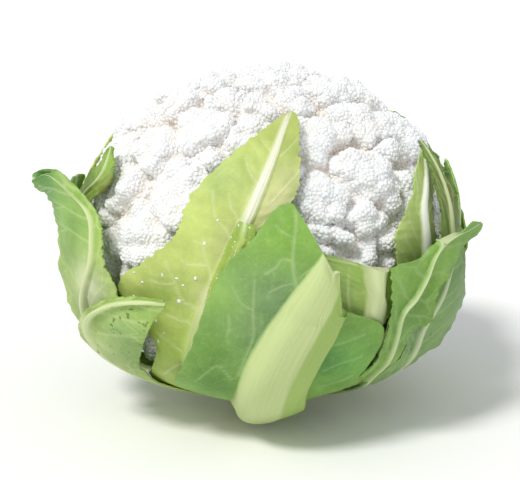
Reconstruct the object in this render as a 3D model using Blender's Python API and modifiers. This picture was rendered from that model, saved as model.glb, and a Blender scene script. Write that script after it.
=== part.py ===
"""A trimmed head of cauliflower, standing on the cut face of its short stalk.

One white curd sits on the stalk. Nineteen leaves wrap it in three layers that hug the head without
touching: every leaf is a grid bent over a layer's surface, thickened by Solidify, with a raised midrib.

Metres, +Z up. The origin is the centre of the stalk's cut face, and the head's front faces -Y.
"""

import math
from dataclasses import dataclass

import bmesh
import bpy
from mathutils import Vector

MM = 0.001

# The head
HEAD_HEIGHT = 86 * MM  # centre of the head above the cut face
CURD_RADIUS = 84.5 * MM  # half the curd's width, over its florets
CURD_TOP = 70.5 * MM  # top of the curd above the centre, over its florets
CURD_DROP = 50 * MM  # underside of the curd below the centre, on the axis
DOME_ROUNDNESS = 2.0  # exponent of the outline above the centre: 2 is an ellipse
BOWL_ROUNDNESS = 2.2  # exponent of the outline below the centre, which is fuller
FLORET_DEPTH = 4.5 * MM  # depth of the creases between neighbouring florets
SPREAD_FLORETS = 46  # florets that fill the dome round the ones placed by hand

# The stalk
STALK_RADIUS = 24 * MM
STALK_EDGE = 1.5 * MM  # rounding of the cut face's rim

# The leaves
BLADE_THICKNESS = 1.7 * MM
PETIOLE_THICKNESS = 7.0 * MM  # at the foot, where the leaf leaves the stalk
CURD_CLEARANCE = 3.0 * MM  # from the curd's florets to the innermost blades
LAYER_STEP = 4.2 * MM  # from one layer of blades to the next
TOUCH_GAP = 0.3 * MM  # between solids that would touch
FOOT_GAP = 1.2 * MM  # from the stalk to the end of each petiole
GROUND_GAP = 1.0 * MM  # from the lowest petiole to the plane of the cut face
LAYERS = 3
BLADE_ROWS = 13
BLADE_COLUMNS = 8
FOOT_HALVINGS = 16  # times that the search for a foot's elevation halves its range
PROBE = 0.01  # share of a leaf over which its slope is read

# The blades leave the bowl below this elevation, in degrees, and follow the petioles to the stalk.
BLADE_ELEVATION = -25.0
FOOT_ELEVATION = -66.0


@dataclass
class Station:
    """One line across a leaf: its left end, its midrib and its right end.

    Each point is an azimuth and an elevation in degrees, seen from the head's centre. Azimuth 0 is the
    front and 90 the right side. The midrib stands rib_height millimetres proud of the blade, and lift
    moves the left end, the midrib and the right end away from the head, in millimetres.
    """

    left: tuple
    rib: tuple
    right: tuple
    rib_height: float = 2.0
    lift: tuple = (0.0, 0.0, 0.0)


@dataclass
class Leaf:
    """A leaf: its layer counted from the curd, its foot on the stalk, and its stations up to the tip."""

    name: str
    layer: int
    foot: tuple  # azimuth and half the petiole's width, both in degrees
    rib_width: float  # half the midrib's width at the foot, in millimetres
    colour: tuple
    stations: tuple


YELLOW_GREEN = (0.56, 0.64, 0.20)
LIME = (0.40, 0.56, 0.15)
GREEN = (0.24, 0.42, 0.10)
DARK_GREEN = (0.13, 0.28, 0.06)
CURD_WHITE = (0.86, 0.84, 0.80)
STALK_CREAM = (0.74, 0.76, 0.55)

LEAVES = (
    Leaf("front_inner_leaf", 0, (-34, 20), 9, YELLOW_GREEN, (
        Station((-40, -44), (-28, -53), (-16, -47), 3.0),
        Station((-36, -22), (-25.5, -38), (-16, -26), 2.2),
        Station((-46, -10), (-19.5, -19.5), (-7, -12), 2.2),
        Station((-34, 0.5), (-12, -3.5), (-1, 4), 2.0),
        Station((-25.5, 8), (-7, 8), (5.5, 15), 1.8),
        Station((-22, 19.5), (-3, 17.5), (10, 22), 1.4),
        Station((-9, 34), (2, 29), (12, 34), 1.0),
        Station((1, 42), (7, 40), (14, 44), 0.6),
        Station((10, 47), (11, 47.5), (12, 47.5), 0.2),
    )),
    Leaf("front_small_leaf", 1, (-16, 13), 5, LIME, (
        Station((-18.5, -23), (-13.5, -22), (-8, -21.5), 1.0, (0.5, 0.2, 0)),
        Station((-15, -6), (-10.5, -6.5), (-5, -5), 1.2),
        Station((-11.5, 3), (-8, 2.5), (-3.5, 3.5), 0.8),
        Station((-9, 9), (-6, 8.5), (-2.5, 8.5), 0.5),
        Station((-7, 13), (-5.5, 12.5), (-3, 12), 0.2),
    )),
    Leaf("front_outer_leaf", 2, (-4, 22), 17, GREEN, (
        Station((-12, -49), (-5, -56), (11, -51), 10.0, (0, 4, 0)),
        Station((-18, -39.5), (-3, -50.5), (15, -47), 10.4, (0, 3, 0)),
        Station((-31, -37.5), (-1, -45.5), (15.5, -41), 10.5, (0, 2, 0)),
        Station((-21, -22.5), (2, -28.5), (24, -38), 9.5),
        Station((-15.5, -10), (6, -18), (30, -31), 8.5),
        Station((-12.5, -3), (9.5, -11.5), (31.5, -16.5), 7.5, (0, 0, 1.5)),
        Station((-9, 3), (11, -8.5), (22.5, -11), 7.0, (0, 1, 1)),
        Station((-3, 9), (13.5, -4.5), (18.5, -8), 5.5, (0, 2, 2)),
        Station((2.5, 16), (15.5, -1), (17.5, -3), 3.5, (0, 3, 3)),
        Station((7, 17), (16, 1), (17, 1), 1.0, (0, 4, 4)),
    )),
    Leaf("front_trimmed_leaf", 1, (21, 11), 9, LIME, (
        Station((20, -31), (25.5, -32), (30, -33), 2.0),
        Station((20, -20), (29, -21), (33, -21.5), 2.0),
        Station((17, -9), (30, -12), (36, -12.5), 4.2),
        Station((10, 2), (29, -5.5), (34.5, -7.5), 7.0, (0, 0, 2)),
        Station((8.5, 6.5), (28.5, -0.5), (34, -1.5), 7.0, (0, 0, 2)),
    )),
    Leaf("right_pointed_leaf", 1, (43, 8), 6, GREEN, (
        Station((37, -46), (41, -46), (45, -47), 2.4),
        Station((33.5, -35), (37, -35), (41, -36), 2.4, (0, 1, 2)),
        Station((32.5, -24), (36, -24), (40, -27), 2.4, (5, 6, 6.5)),
        Station((31.5, -14.5), (34.5, -12.5), (39.5, -17.5), 2.2, (8.6, 8.6, 9)),
        Station((31, -6), (38, -8.5), (44.5, -15.5), 2.2, (8.6, 8.6, 11)),
        Station((31, 0), (41, -4.5), (45, -8), 2.0, (8.6, 8.6, 11)),
        Station((41, 1), (44.5, 1.5), (50, -5), 1.6, (8.6, 9, 10)),
        Station((49.5, 3.5), (52, 4), (55.5, 0.5), 1.0, (9, 9, 9)),
        Station((62.5, 5.5), (68, 4), (67.5, 2), 0.3, (9, 9, 9)),
    )),
    Leaf("right_outer_leaf", 2, (57, 13), 8, GREEN, (
        Station((46, -42), (54, -42), (64, -42), 4.0),
        Station((45, -33), (51, -33), (68, -36), 3.4),
        Station((42, -24.5), (47.5, -26), (70, -30), 2.4, (0, 0, 1)),
        Station((35, -15), (47, -19.5), (71.5, -24), 2.0, (0, 0, 1)),
        Station((36.5, -7.5), (52, -12), (71, -17), 1.8),
        Station((44.5, -1.5), (55, -4.5), (66.5, -9), 1.2),
        Station((53, 2), (58, 1), (62, -0.5), 0.4),
    )),
    Leaf("right_inner_leaf", 0, (49, 16), 6, LIME, (
        Station((38, -32), (52, -35), (68, -36), 2.2),
        Station((39, -13), (54, -17), (67, -19), 2.2),
        Station((38.5, -2), (51, -3), (61, -6), 2.0),
        Station((38, 5.5), (50.5, 7), (56, 3), 1.8),
        Station((42.5, 11), (51.5, 12.5), (56, 10), 1.6),
        Station((49, 17), (56, 18), (59.5, 15.5), 1.2),
        Station((54, 22.5), (61, 23.5), (63, 21.5), 0.8),
        Station((63.5, 27), (65, 27), (66, 26.5), 0.3),
    )),
    Leaf("right_rear_leaf", 1, (66, 13), 6, DARK_GREEN, (
        Station((50, -32), (62, -34), (74, -34), 2.6),
        Station((50, -12), (60.5, -14), (72, -17), 2.0),
        Station((53.5, 2), (60, 0), (68.5, -2), 1.6),
        Station((55.5, 14), (60.5, 11.5), (67.5, 6.5), 1.2),
        Station((56.5, 21.5), (60.5, 19.5), (64.5, 16), 0.8),
        Station((57.5, 27), (60, 26), (62.5, 24), 0.5),
        Station((58.5, 29.5), (59.5, 29.3), (60.5, 28.8), 0.2),
    )),
    Leaf("left_curled_leaf", 1, (-60, 15), 9, LIME, (
        Station((-78, -42), (-62, -44), (-47, -40), 3.4),
        Station((-80, -28), (-63, -29), (-45.5, -22.5), 3.4, (4, 1, 0)),
        Station((-80, -19), (-61, -18), (-43, -12), 3.0, (4, 1, 0)),
        Station((-82, -9), (-53, -4.5), (-47.5, -3), 2.4, (2, 0, 0)),
        Station((-83, -1), (-52, 3), (-48, 4), 2.0, (2, 0, 0)),
        Station((-84, 5), (-54, 9), (-51, 9), 1.6, (4, 1, 0)),
        Station((-85, 8), (-62, 13), (-57, 12.5), 1.0, (9, 4, 2)),
        Station((-86, 9), (-75, 15), (-70, 15.5), 0.6, (13, 10, 7)),
        Station((-88, 9.5), (-86, 11), (-84, 12.5), 0.2, (15, 15, 14)),
    )),
    Leaf("left_folded_leaf", 2, (-44, 15), 8, LIME, (
        Station((-56, -44), (-48, -45), (-38, -44), 4.0),
        Station((-64, -29), (-55, -29), (-39.5, -31), 3.6, (3, 3, 1)),
        Station((-60, -20.5), (-52.5, -18.5), (-35.5, -24), 3.4, (3, 3, 1)),
        Station((-47, -12), (-44.5, -13), (-32, -18.5), 3.0, (2, 2, 1)),
        Station((-35, -8.5), (-34.5, -10), (-29.5, -14.5), 2.2),
        Station((-26, -8), (-25.5, -9), (-26, -10.5), 0.8),
    )),
    Leaf("left_inner_leaf", 0, (-78, 13), 5, DARK_GREEN, (
        Station((-88, -30), (-77, -31), (-67, -30), 2.2),
        Station((-82, -8), (-73, -9), (-65, -8), 2.0),
        Station((-76, 7), (-68, 9), (-61, 10), 1.6),
        Station((-69, 17), (-60, 18), (-53, 19), 1.0),
        Station((-65, 23), (-60, 24), (-56.5, 24.5), 0.6),
        Station((-64, 27.5), (-63, 28), (-61.5, 28), 0.2),
    )),
    Leaf("left_outer_leaf", 1, (-98, 15), 8, DARK_GREEN, (
        Station((-118, -38), (-100, -40), (-87, -38), 4.0),
        Station((-122, -22), (-102, -24), (-87.5, -24), 3.0),
        Station((-121, -8), (-103, -9), (-87.5, -10), 2.0),
        Station((-117, 2), (-104, 2), (-91, 0), 1.2),
        Station((-110, 8), (-104, 9), (-98, 8), 0.4),
    )),
    Leaf("right_side_leaf", 0, (93, 16), 7, GREEN, (
        Station((74, -36), (92, -38), (110, -36), 2.2),
        Station((72, -18), (92, -19), (113, -17), 2.2),
        Station((74, -4), (93, -4), (111, -2), 1.8),
        Station((80, 6), (94, 7), (107, 8), 1.2),
        Station((88, 12), (95, 13), (102, 13), 0.6),
        Station((93, 16.5), (95, 17), (97, 16.5), 0.2),
    )),
    Leaf("right_low_leaf", 1, (99, 17), 8, LIME, (
        Station((84, -36), (101, -38), (118, -36), 4.0),
        Station((82, -21), (102, -23), (121, -21), 2.8),
        Station((87, -9), (102, -9), (116, -10), 1.4),
        Station((96, -1), (102, 0), (108, -1), 0.4),
    )),
    Leaf("back_right_leaf", 2, (132, 18), 9, GREEN, (
        Station((112, -38), (132, -42), (152, -38), 4.4),
        Station((111, -22), (132, -26), (156, -22), 3.4),
        Station((112, -6), (133, -9), (157, -5), 2.4),
        Station((116, 7), (134, 5), (153, 9), 1.6),
        Station((123, 16), (135, 16), (147, 17), 0.9),
        Station((132, 23), (135, 23.5), (138, 23), 0.3),
    )),
    Leaf("back_inner_leaf", 0, (146, 17), 7, YELLOW_GREEN, (
        Station((128, -32), (146, -34), (165, -32), 3.0),
        Station((125, -12), (146, -14), (170, -12), 2.2),
        Station((127, 6), (147, 5), (169, 7), 1.8),
        Station((132, 21), (148, 20), (165, 22), 1.4),
        Station((139, 33), (150, 33), (161, 34), 0.8),
        Station((149, 41), (151.5, 41.5), (154, 41), 0.3),
    )),
    Leaf("back_leaf", 1, (181, 16), 8, LIME, (
        Station((162, -36), (181, -39), (200, -36), 3.6),
        Station((158, -18), (181, -21), (203, -18), 2.6),
        Station((159, -2), (181, -4), (202, -1), 2.0),
        Station((163, 12), (180, 11), (197, 13), 1.5),
        Station((170, 23), (179, 23), (189, 24), 0.9),
        Station((176, 30), (178.5, 31), (181, 30), 0.3),
    )),
    Leaf("back_left_leaf", 2, (-144, 18), 9, GREEN, (
        Station((-164, -38), (-144, -42), (-124, -38), 4.4),
        Station((-168, -22), (-144, -26), (-122, -22), 3.4),
        Station((-169, -6), (-144, -9), (-122, -6), 2.4),
        Station((-164, 8), (-144, 6), (-126, 7), 1.6),
        Station((-156, 17), (-144, 17), (-133, 16), 0.9),
        Station((-147, 23), (-144, 24), (-141, 23), 0.3),
    )),
    Leaf("left_side_leaf", 0, (-122, 16), 7, YELLOW_GREEN, (
        Station((-142, -32), (-122, -34), (-104, -32), 3.0),
        Station((-146, -14), (-122, -16), (-100, -14), 2.2),
        Station((-145, -1), (-121, -2), (-100, -3), 1.8),
        Station((-140, 10), (-122, 9), (-104, 6), 1.4),
        Station((-132, 18), (-122, 18), (-112, 15), 0.8),
        Station((-125, 23), (-122, 23.5), (-119, 22), 0.3),
    )),
)

# The florets that shape the curd's front: azimuth, elevation and radius in millimetres.
FRONT_FLORETS = (
    (25, 40, 24), (57, 42, 25), (39, 24, 28), (18, 18, 22), (33, 10, 24), (20, 8, 19), (33, 1, 18),
    (-30, 45, 30), (-46, 31, 25), (-28, 20, 30), (-44, 5, 30), (-64, 56, 17), (-25, 57, 21),
    (0, 80, 24), (-2, 57, 20), (62, 64, 21), (17, 61, 19), (-11, 42, 22), (-18, 31, 20),
    (-56, 17, 19), (54, 30, 16), (0, 30, 22), (4, 8, 20), (60, 12, 24), (-70, 20, 24),
)
FLORET_RADIUS = 23.0  # of the florets that fill the rest of the dome, in millimetres
FLORET_SPACING = 15.0  # least angle between a filling floret and one placed by hand, in degrees


def direction(azimuth, elevation):
    """The unit vector that points at an azimuth and an elevation, both in degrees."""
    turn = math.radians(azimuth)
    rise = math.radians(elevation)
    return Vector((math.sin(turn) * math.cos(rise), -math.cos(turn) * math.cos(rise), math.sin(rise)))


def elevation_of(pointing):
    return math.degrees(math.asin(max(-1.0, min(1.0, pointing.normalized().z))))


def outline_radius(elevation, wide, top, drop):
    """Distance from the head's centre to an outline that is round above it and fuller below it."""
    above = elevation > 0
    tall = top if above else drop
    power = DOME_ROUNDNESS if above else BOWL_ROUNDNESS
    rise = math.radians(elevation)
    return ((math.cos(rise) / wide) ** power + (abs(math.sin(rise)) / tall) ** power) ** (-1 / power)


def smooth(value):
    value = max(0.0, min(1.0, value))
    return value * value * (3 - 2 * value)


def layer_radius(layer, elevation):
    """Distance from the head's centre to the inner face of a layer of leaves."""
    wrap = outline_radius(
        elevation,
        CURD_RADIUS + CURD_CLEARANCE,
        CURD_TOP + CURD_CLEARANCE,
        HEAD_HEIGHT - GROUND_GAP - BLADE_THICKNESS - CURD_CLEARANCE,
    )
    down = smooth((BLADE_ELEVATION - elevation) / (BLADE_ELEVATION - FOOT_ELEVATION))
    at_blade = layer * LAYER_STEP
    at_foot = -(LAYERS - 1 - layer) * (PETIOLE_THICKNESS + BLADE_THICKNESS)
    return wrap + at_blade * (1 - down) + at_foot * down


def foot_elevation(layer):
    """The elevation at which a layer comes within the foot gap of the stalk."""
    low, high = -89.0, -30.0
    for _ in range(FOOT_HALVINGS):
        middle = (low + high) / 2
        reach = layer_radius(layer, middle) * math.cos(math.radians(middle))
        if reach > STALK_RADIUS + FOOT_GAP:
            high = middle
        else:
            low = middle
    return high


def curve_through(values, place):
    """The value at a place from 0 to 1 on a smooth curve through evenly spaced values."""
    last = len(values) - 1
    index = min(int(place * last), last - 1)
    share = place * last - index
    before = values[max(index - 1, 0)]
    start, end = values[index], values[index + 1]
    after = values[min(index + 2, last)]
    slope_in = (end - before) * 0.5
    slope_out = (after - start) * 0.5
    square, cube = share**2, share**3
    return (
        start * (2 * cube - 3 * square + 1)
        + slope_in * (cube - 2 * square + share)
        + end * (3 * square - 2 * cube)
        + slope_out * (cube - square)
    )


class LeafSurface:
    """The inner face of a leaf, and how thick the leaf is over it."""

    def __init__(self, leaf):
        azimuth, half = leaf.foot
        low = foot_elevation(leaf.layer)
        foot = Station(
            (azimuth - half, low),
            (azimuth, low),
            (azimuth + half, low),
            (PETIOLE_THICKNESS - BLADE_THICKNESS) / MM,
        )
        stations = (foot, *leaf.stations)
        self.layer = leaf.layer
        self.rib_width = leaf.rib_width * MM
        self.lines = [
            [direction(*point) for point in column]
            for column in zip(*((s.left, s.rib, s.right) for s in stations))
        ]
        self.lifts = list(zip(*(s.lift for s in stations)))
        self.rib_heights = [s.rib_height for s in stations]

    def point(self, along, across):
        """A point on the leaf, from its foot (0) to its tip (1) and from left (-1) to right (1)."""
        side = 0 if across < 0 else 2
        rib = curve_through(self.lines[1], along).normalized()
        edge = curve_through(self.lines[side], along).normalized()
        pointing = rib.slerp(edge, abs(across))
        rib_lift = curve_through(self.lifts[1], along)
        edge_lift = curve_through(self.lifts[side], along)
        lift = (rib_lift + (edge_lift - rib_lift) * abs(across) ** 1.5) * MM
        radius = layer_radius(self.layer, elevation_of(pointing)) + max(lift, 0.0)
        return pointing * radius + Vector((0, 0, HEAD_HEIGHT))

    def thickness(self, along, across):
        """The leaf's thickness, kept clear of the plane that the stalk stands on."""
        place = self.point(along, across)
        middle = self.point(along, 0.0)
        width = self.rib_width * (1 - 0.75 * along)
        share = (place - middle).length / width
        proud = curve_through(self.rib_heights, along) * MM * max(0.0, 1 - share**2)
        wanted = BLADE_THICKNESS + max(proud, 0.0)
        ahead = self.point(min(along + PROBE, 1.0), across) - self.point(max(along - PROBE, 0.0), across)
        aside = self.point(along, min(across + PROBE, 1.0)) - self.point(along, max(across - PROBE, -1.0))
        steepness = -aside.cross(ahead).normalized().z
        room = (place.z - GROUND_GAP) / max(steepness, 0.1)
        return max(BLADE_THICKNESS * 0.5, min(wanted, room))


def clear_scene():
    for item in list(bpy.data.objects):
        bpy.data.objects.remove(item, do_unlink=True)


def new_collection(name):
    collection = bpy.data.collections.new(name)
    bpy.context.scene.collection.children.link(collection)
    return collection


def material(name, colour, roughness):
    made = bpy.data.materials.new(name)
    made.use_nodes = True
    shader = made.node_tree.nodes["Principled BSDF"]
    shader.inputs["Base Color"].default_value = (*colour, 1.0)
    shader.inputs["Roughness"].default_value = roughness
    shader.inputs["Metallic"].default_value = 0.0
    made.diffuse_color = (*colour, 1.0)
    return made


def add_object(name, mesh, collection, finish):
    """An object of a mesh, shaded smooth, with one material."""
    item = bpy.data.objects.new(name, mesh)
    mesh.materials.append(finish)
    mesh.shade_smooth()
    collection.objects.link(item)
    return item


def mesh_from(name, bm):
    mesh = bpy.data.meshes.new(name)
    bm.to_mesh(mesh)
    bm.free()
    return mesh


def floret_centres():
    """Every floret's direction and radius: the ones placed by hand, then a spiral that fills the dome."""
    florets = [(direction(azimuth, elevation), radius * MM) for azimuth, elevation, radius in FRONT_FLORETS]
    placed = [pointing for pointing, _ in florets]
    golden_angle = 180 * (3 - math.sqrt(5))
    for index in range(SPREAD_FLORETS):
        height = 1 - 1.25 * (index + 0.5) / SPREAD_FLORETS
        pointing = direction(index * golden_angle, math.degrees(math.asin(height)))
        nearest = min(math.degrees(pointing.angle(other)) for other in placed)
        if nearest > FLORET_SPACING:
            florets.append((pointing, FLORET_RADIUS * MM))
    return florets


def curd_radius(pointing, florets):
    """Distance from the centre to the curd's surface: the florets' rounded tops over a plain body."""
    elevation = elevation_of(pointing)
    outer = outline_radius(elevation, CURD_RADIUS, CURD_TOP, CURD_DROP)
    depth = FLORET_DEPTH
    for centre, radius in florets:
        reach = outer * pointing.angle(centre) / radius
        depth = min(depth, FLORET_DEPTH * reach**2)
    dome = smooth((elevation + 35) / 25)
    return outer - depth * dome


def add_curd(collection):
    bm = bmesh.new()
    bmesh.ops.create_icosphere(bm, subdivisions=5, radius=1.0)
    florets = floret_centres()
    for vertex in bm.verts:
        pointing = vertex.co.normalized()
        vertex.co = pointing * curd_radius(pointing, florets)
    finish = material("curd", CURD_WHITE, 0.6)
    item = add_object("curd", mesh_from("curd", bm), collection, finish)
    item.location.z = HEAD_HEIGHT


def add_stalk(collection):
    """The stalk is turned: a cut face below, a slight flare where it meets the curd."""
    top = HEAD_HEIGHT - CURD_DROP - TOUCH_GAP
    wide = STALK_RADIUS
    profile = (
        (0.0, top),
        (wide * 0.92, top),
        (wide, top - STALK_EDGE),
        (wide * 0.97, top * 0.6),
        (wide * 0.94, top * 0.3),
        (wide * 0.94, STALK_EDGE),
        (wide * 0.94 - STALK_EDGE * 0.3, STALK_EDGE * 0.3),
        (wide * 0.94 - STALK_EDGE, 0.0),
        (0.0, 0.0),
    )
    bm = bmesh.new()
    points = [bm.verts.new((reach, 0.0, height)) for reach, height in profile]
    for start, end in zip(points, points[1:]):
        bm.edges.new((start, end))
    item = add_object("stalk", mesh_from("stalk", bm), collection, material("stalk", STALK_CREAM, 0.6))
    turn = item.modifiers.new("turn", "SCREW")
    turn.steps = 40
    turn.render_steps = 40
    turn.use_merge_vertices = True
    turn.merge_threshold = 0.0001


def add_leaf(leaf, collection):
    """A grid bent into the leaf's inner face, which Solidify thickens outwards."""
    surface = LeafSurface(leaf)
    bm = bmesh.new()
    bmesh.ops.create_grid(bm, x_segments=BLADE_COLUMNS, y_segments=BLADE_ROWS, size=1.0)
    places = []
    for vertex in bm.verts:
        across = math.copysign(abs(vertex.co.x) ** 1.6, vertex.co.x)
        along = (vertex.co.y + 1) / 2
        places.append((along, across))
        vertex.co = surface.point(along, across)
    mesh = mesh_from(leaf.name, bm)
    item = add_object(leaf.name, mesh, collection, material(leaf.name, leaf.colour, 0.55))
    depths = [surface.thickness(along, across) for along, across in places]
    deepest = max(depths)
    group = item.vertex_groups.new(name="thickness")
    for index, depth in enumerate(depths):
        group.add([index], depth / deepest, "REPLACE")
    shell = item.modifiers.new("thickness", "SOLIDIFY")
    shell.thickness = deepest
    shell.offset = 1.0
    shell.vertex_group = group.name


def main():
    clear_scene()
    collection = new_collection("cauliflower")
    add_curd(collection)
    add_stalk(collection)
    for leaf in LEAVES:
        add_leaf(leaf, collection)


main()
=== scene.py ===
"""The finished look of a trimmed head of cauliflower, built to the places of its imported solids.

The curd is a lumpy body covered in small buds. Nineteen leaves wrap it: each one is a fine closed mesh
bent over its layer, with a midrib, branching veins, a toothed edge and its own greens. Metres, +Z up,
the origin at the centre of the stalk's cut face, and the head's front facing -Y.
"""

from __future__ import annotations

import logging
import math
from dataclasses import dataclass
from enum import Enum
from typing import ClassVar

import bmesh
import bpy
import numpy as np
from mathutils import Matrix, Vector


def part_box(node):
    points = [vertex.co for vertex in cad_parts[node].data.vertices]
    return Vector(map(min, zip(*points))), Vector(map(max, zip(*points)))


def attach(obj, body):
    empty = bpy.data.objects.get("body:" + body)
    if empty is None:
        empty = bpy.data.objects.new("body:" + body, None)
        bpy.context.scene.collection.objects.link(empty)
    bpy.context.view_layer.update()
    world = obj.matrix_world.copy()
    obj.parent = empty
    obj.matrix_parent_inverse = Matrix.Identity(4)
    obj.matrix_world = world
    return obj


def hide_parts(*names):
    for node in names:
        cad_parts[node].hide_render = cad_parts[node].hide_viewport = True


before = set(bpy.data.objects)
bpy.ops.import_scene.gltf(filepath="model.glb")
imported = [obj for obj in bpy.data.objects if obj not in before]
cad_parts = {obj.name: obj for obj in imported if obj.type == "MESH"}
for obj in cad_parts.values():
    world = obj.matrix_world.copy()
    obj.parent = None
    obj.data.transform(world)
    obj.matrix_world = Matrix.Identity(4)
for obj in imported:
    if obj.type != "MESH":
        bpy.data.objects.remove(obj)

MM = 0.001
LOG = logging.getLogger("cauliflower")
BODY = "root"
LEAF_MAP = "leaf_grain"  # UV map of a leaf: millimetres across and along it
BAKE_MAP = "OFBake"

# The head, as its solids have it
CURD_RADIUS = 84.5
CURD_TOP = 70.5
SHARP = 50.0  # degrees between faces from which an edge stays crisp
DOME_ROUNDNESS = 2.0
BOWL_ROUNDNESS = 2.2
BLADE_THICKNESS = 1.7
PETIOLE_THICKNESS = 7.0
CURD_CLEARANCE = 3.0
LAYER_STEP = 4.2
GROUND_GAP = 1.0
LAYERS = 3
STALK_RADIUS = 24.0
FOOT_GAP = 1.2
BLADE_ELEVATION = -25.0
FOOT_ELEVATION = -66.0
HEAD_HEIGHT = 86.0

Pair = tuple[float, float]
Triple = tuple[float, float, float]


def paint(red: float, green: float, blue: float) -> Triple:
    """A colour given as a paint chip's 0 to 255 values, made linear."""
    linear = [
        c / 12.92 if c <= 0.04045 else ((c + 0.055) / 1.055) ** 2.4
        for c in (red / 255, green / 255, blue / 255)
    ]
    return (linear[0], linear[1], linear[2])


class Slot(Enum):
    """The record's material slots."""

    CURD = "curd"
    STALK = "stalk"
    YELLOW_LEAF = "leaf_yellow_green"
    GREEN_LEAF = "leaf_green"


# ---------------------------------------------------------------------------------------------------
# Node trees


class Value:
    """A number's socket in a node tree, on which arithmetic adds Math nodes."""

    def __init__(self, graph: Graph, socket: bpy.types.NodeSocket) -> None:
        """Keeps the tree and the socket."""
        self.graph = graph
        self.socket = socket

    def _math(self, operation: str, first: object, second: object = 0.0, clamp: bool = False) -> Value:
        """One Math node.

        Args:
            operation: the node's operation.
            first: its first value or link.
            second: its second value or link.
            clamp: whether the result is held between 0 and 1.

        Returns:
            The node's result.
        """
        settings = {"operation": operation, "use_clamp": clamp}
        return self.graph.value("ShaderNodeMath", "Value", settings, {0: first, 1: second})

    def __add__(self, other: object) -> Value:
        """Sum."""
        return self._math("ADD", self, other)

    def __radd__(self, other: object) -> Value:
        """Sum, from the right."""
        return self._math("ADD", other, self)

    def __sub__(self, other: object) -> Value:
        """Difference."""
        return self._math("SUBTRACT", self, other)

    def __rsub__(self, other: object) -> Value:
        """Difference, from the right."""
        return self._math("SUBTRACT", other, self)

    def __mul__(self, other: object) -> Value:
        """Product."""
        return self._math("MULTIPLY", self, other)

    def __rtruediv__(self, other: object) -> Value:
        """Quotient, from the right."""
        return self._math("DIVIDE", other, self)

    def __pow__(self, other: object) -> Value:
        """Power."""
        return self._math("POWER", self, other)

    def held(self) -> Value:
        """The number held between 0 and 1."""
        return self._math("ADD", self, 0.0, clamp=True)

    def ramp(self, low: float, high: float) -> Value:
        """A smooth step from 0 at low to 1 at high, which may be the lower of the two."""
        flip = low > high
        settings = {"interpolation_type": "SMOOTHSTEP"}
        inputs = {0: self, 1: min(low, high), 2: max(low, high), 3: float(flip), 4: float(not flip)}
        return self.graph.value("ShaderNodeMapRange", 0, settings, inputs)


class Graph:
    """A node tree that is being built."""

    def __init__(self, tree: bpy.types.NodeTree) -> None:
        """Keeps the tree."""
        self.tree = tree

    def node(self, kind: str, settings: dict | None = None, inputs: dict | None = None) -> bpy.types.Node:
        """Adds a node.

        Args:
            kind: the node's type.
            settings: its properties, which are set first.
            inputs: its sockets' values or links, by name or by number.

        Returns:
            The node.
        """
        made = self.tree.nodes.new(kind)
        for key, setting in (settings or {}).items():
            setattr(made, key, setting)
        for key, given in (inputs or {}).items():
            socket = made.inputs[key]
            if isinstance(given, Value):
                self.tree.links.new(given.socket, socket)
            else:
                socket.default_value = given
        return made

    def value(
        self, kind: str, output: int | str, settings: dict | None = None, inputs: dict | None = None
    ) -> Value:
        """Adds a node and returns one of its outputs, by name or by number."""
        return Value(self, self.node(kind, settings, inputs).outputs[output])

    def place(self) -> Value:
        """The piece's own coordinates, in metres."""
        return self.value("ShaderNodeTexCoord", "Object")

    def surface(self, inputs: dict) -> bpy.types.Node:
        """A Principled surface with its inputs."""
        return self.node("ShaderNodeBsdfPrincipled", None, inputs)

    def attribute(self, name: str, output: str = "Fac") -> Value:
        """A value stored on the mesh, read by a material."""
        return self.value("ShaderNodeAttribute", output, {"attribute_name": name})

    def mix(self, amount: object, first: object, second: object, blend: str = "MIX") -> Value:
        """A colour between two.

        Args:
            amount: the share of the second colour.
            first: a colour or a link.
            second: a colour or a link.
            blend: how the second is laid over the first.

        Returns:
            The mixed colour.
        """
        settings = {"data_type": "RGBA", "blend_type": blend, "clamp_factor": True}
        inputs = {0: amount, 6: self._rgba(first), 7: self._rgba(second)}
        return self.value("ShaderNodeMix", 2, settings, inputs)

    @staticmethod
    def _rgba(given: object) -> object:
        """A plain colour with its alpha, or a link as it is."""
        return given if isinstance(given, Value) else (*given, 1.0)

    def noise(self, where: Value, scale: float, detail: float = 3.0, roughness: float = 0.55) -> Value:
        """Soft noise from 0 to 1.

        Args:
            where: the coordinates.
            scale: how many features fit in one unit of them.
            detail: the octaves.
            roughness: how strong the fine octaves are.

        Returns:
            The noise.
        """
        inputs = {"Vector": where, "Scale": scale, "Detail": detail, "Roughness": roughness}
        return self.value("ShaderNodeTexNoise", 0, {"noise_dimensions": "3D"}, inputs)

    def stretched(self, where: Value, scale: Triple) -> Value:
        """Coordinates stretched along their axes."""
        return self.value(
            "ShaderNodeMapping", "Vector", {"vector_type": "POINT"}, {"Vector": where, "Scale": scale}
        )

    def bump(self, height: Value, strength: float, distance: float, below: Value | None = None) -> Value:
        """A bump's normal.

        Args:
            height: the relief.
            strength: how much of it shows.
            distance: the relief's depth in metres at a height of 1.
            below: the normal of a bump that this one lies on.

        Returns:
            The normal.
        """
        inputs = {"Height": height, "Strength": strength, "Distance": distance}
        if below:
            inputs["Normal"] = below
        return self.value("ShaderNodeBump", "Normal", None, inputs)


def new_material(name: str) -> tuple[bpy.types.Material, Graph]:
    """An empty material with its node tree."""
    made = bpy.data.materials.new(name)
    made.use_nodes = True
    made.node_tree.nodes.clear()
    return made, Graph(made.node_tree)


def close_material(graph: Graph, shader: bpy.types.Node) -> None:
    """Joins the last shader to the material's output."""
    out = graph.tree.nodes.new("ShaderNodeOutputMaterial")
    graph.tree.links.new(shader.outputs[0], out.inputs["Surface"])


# ---------------------------------------------------------------------------------------------------
# Finishes


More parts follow.
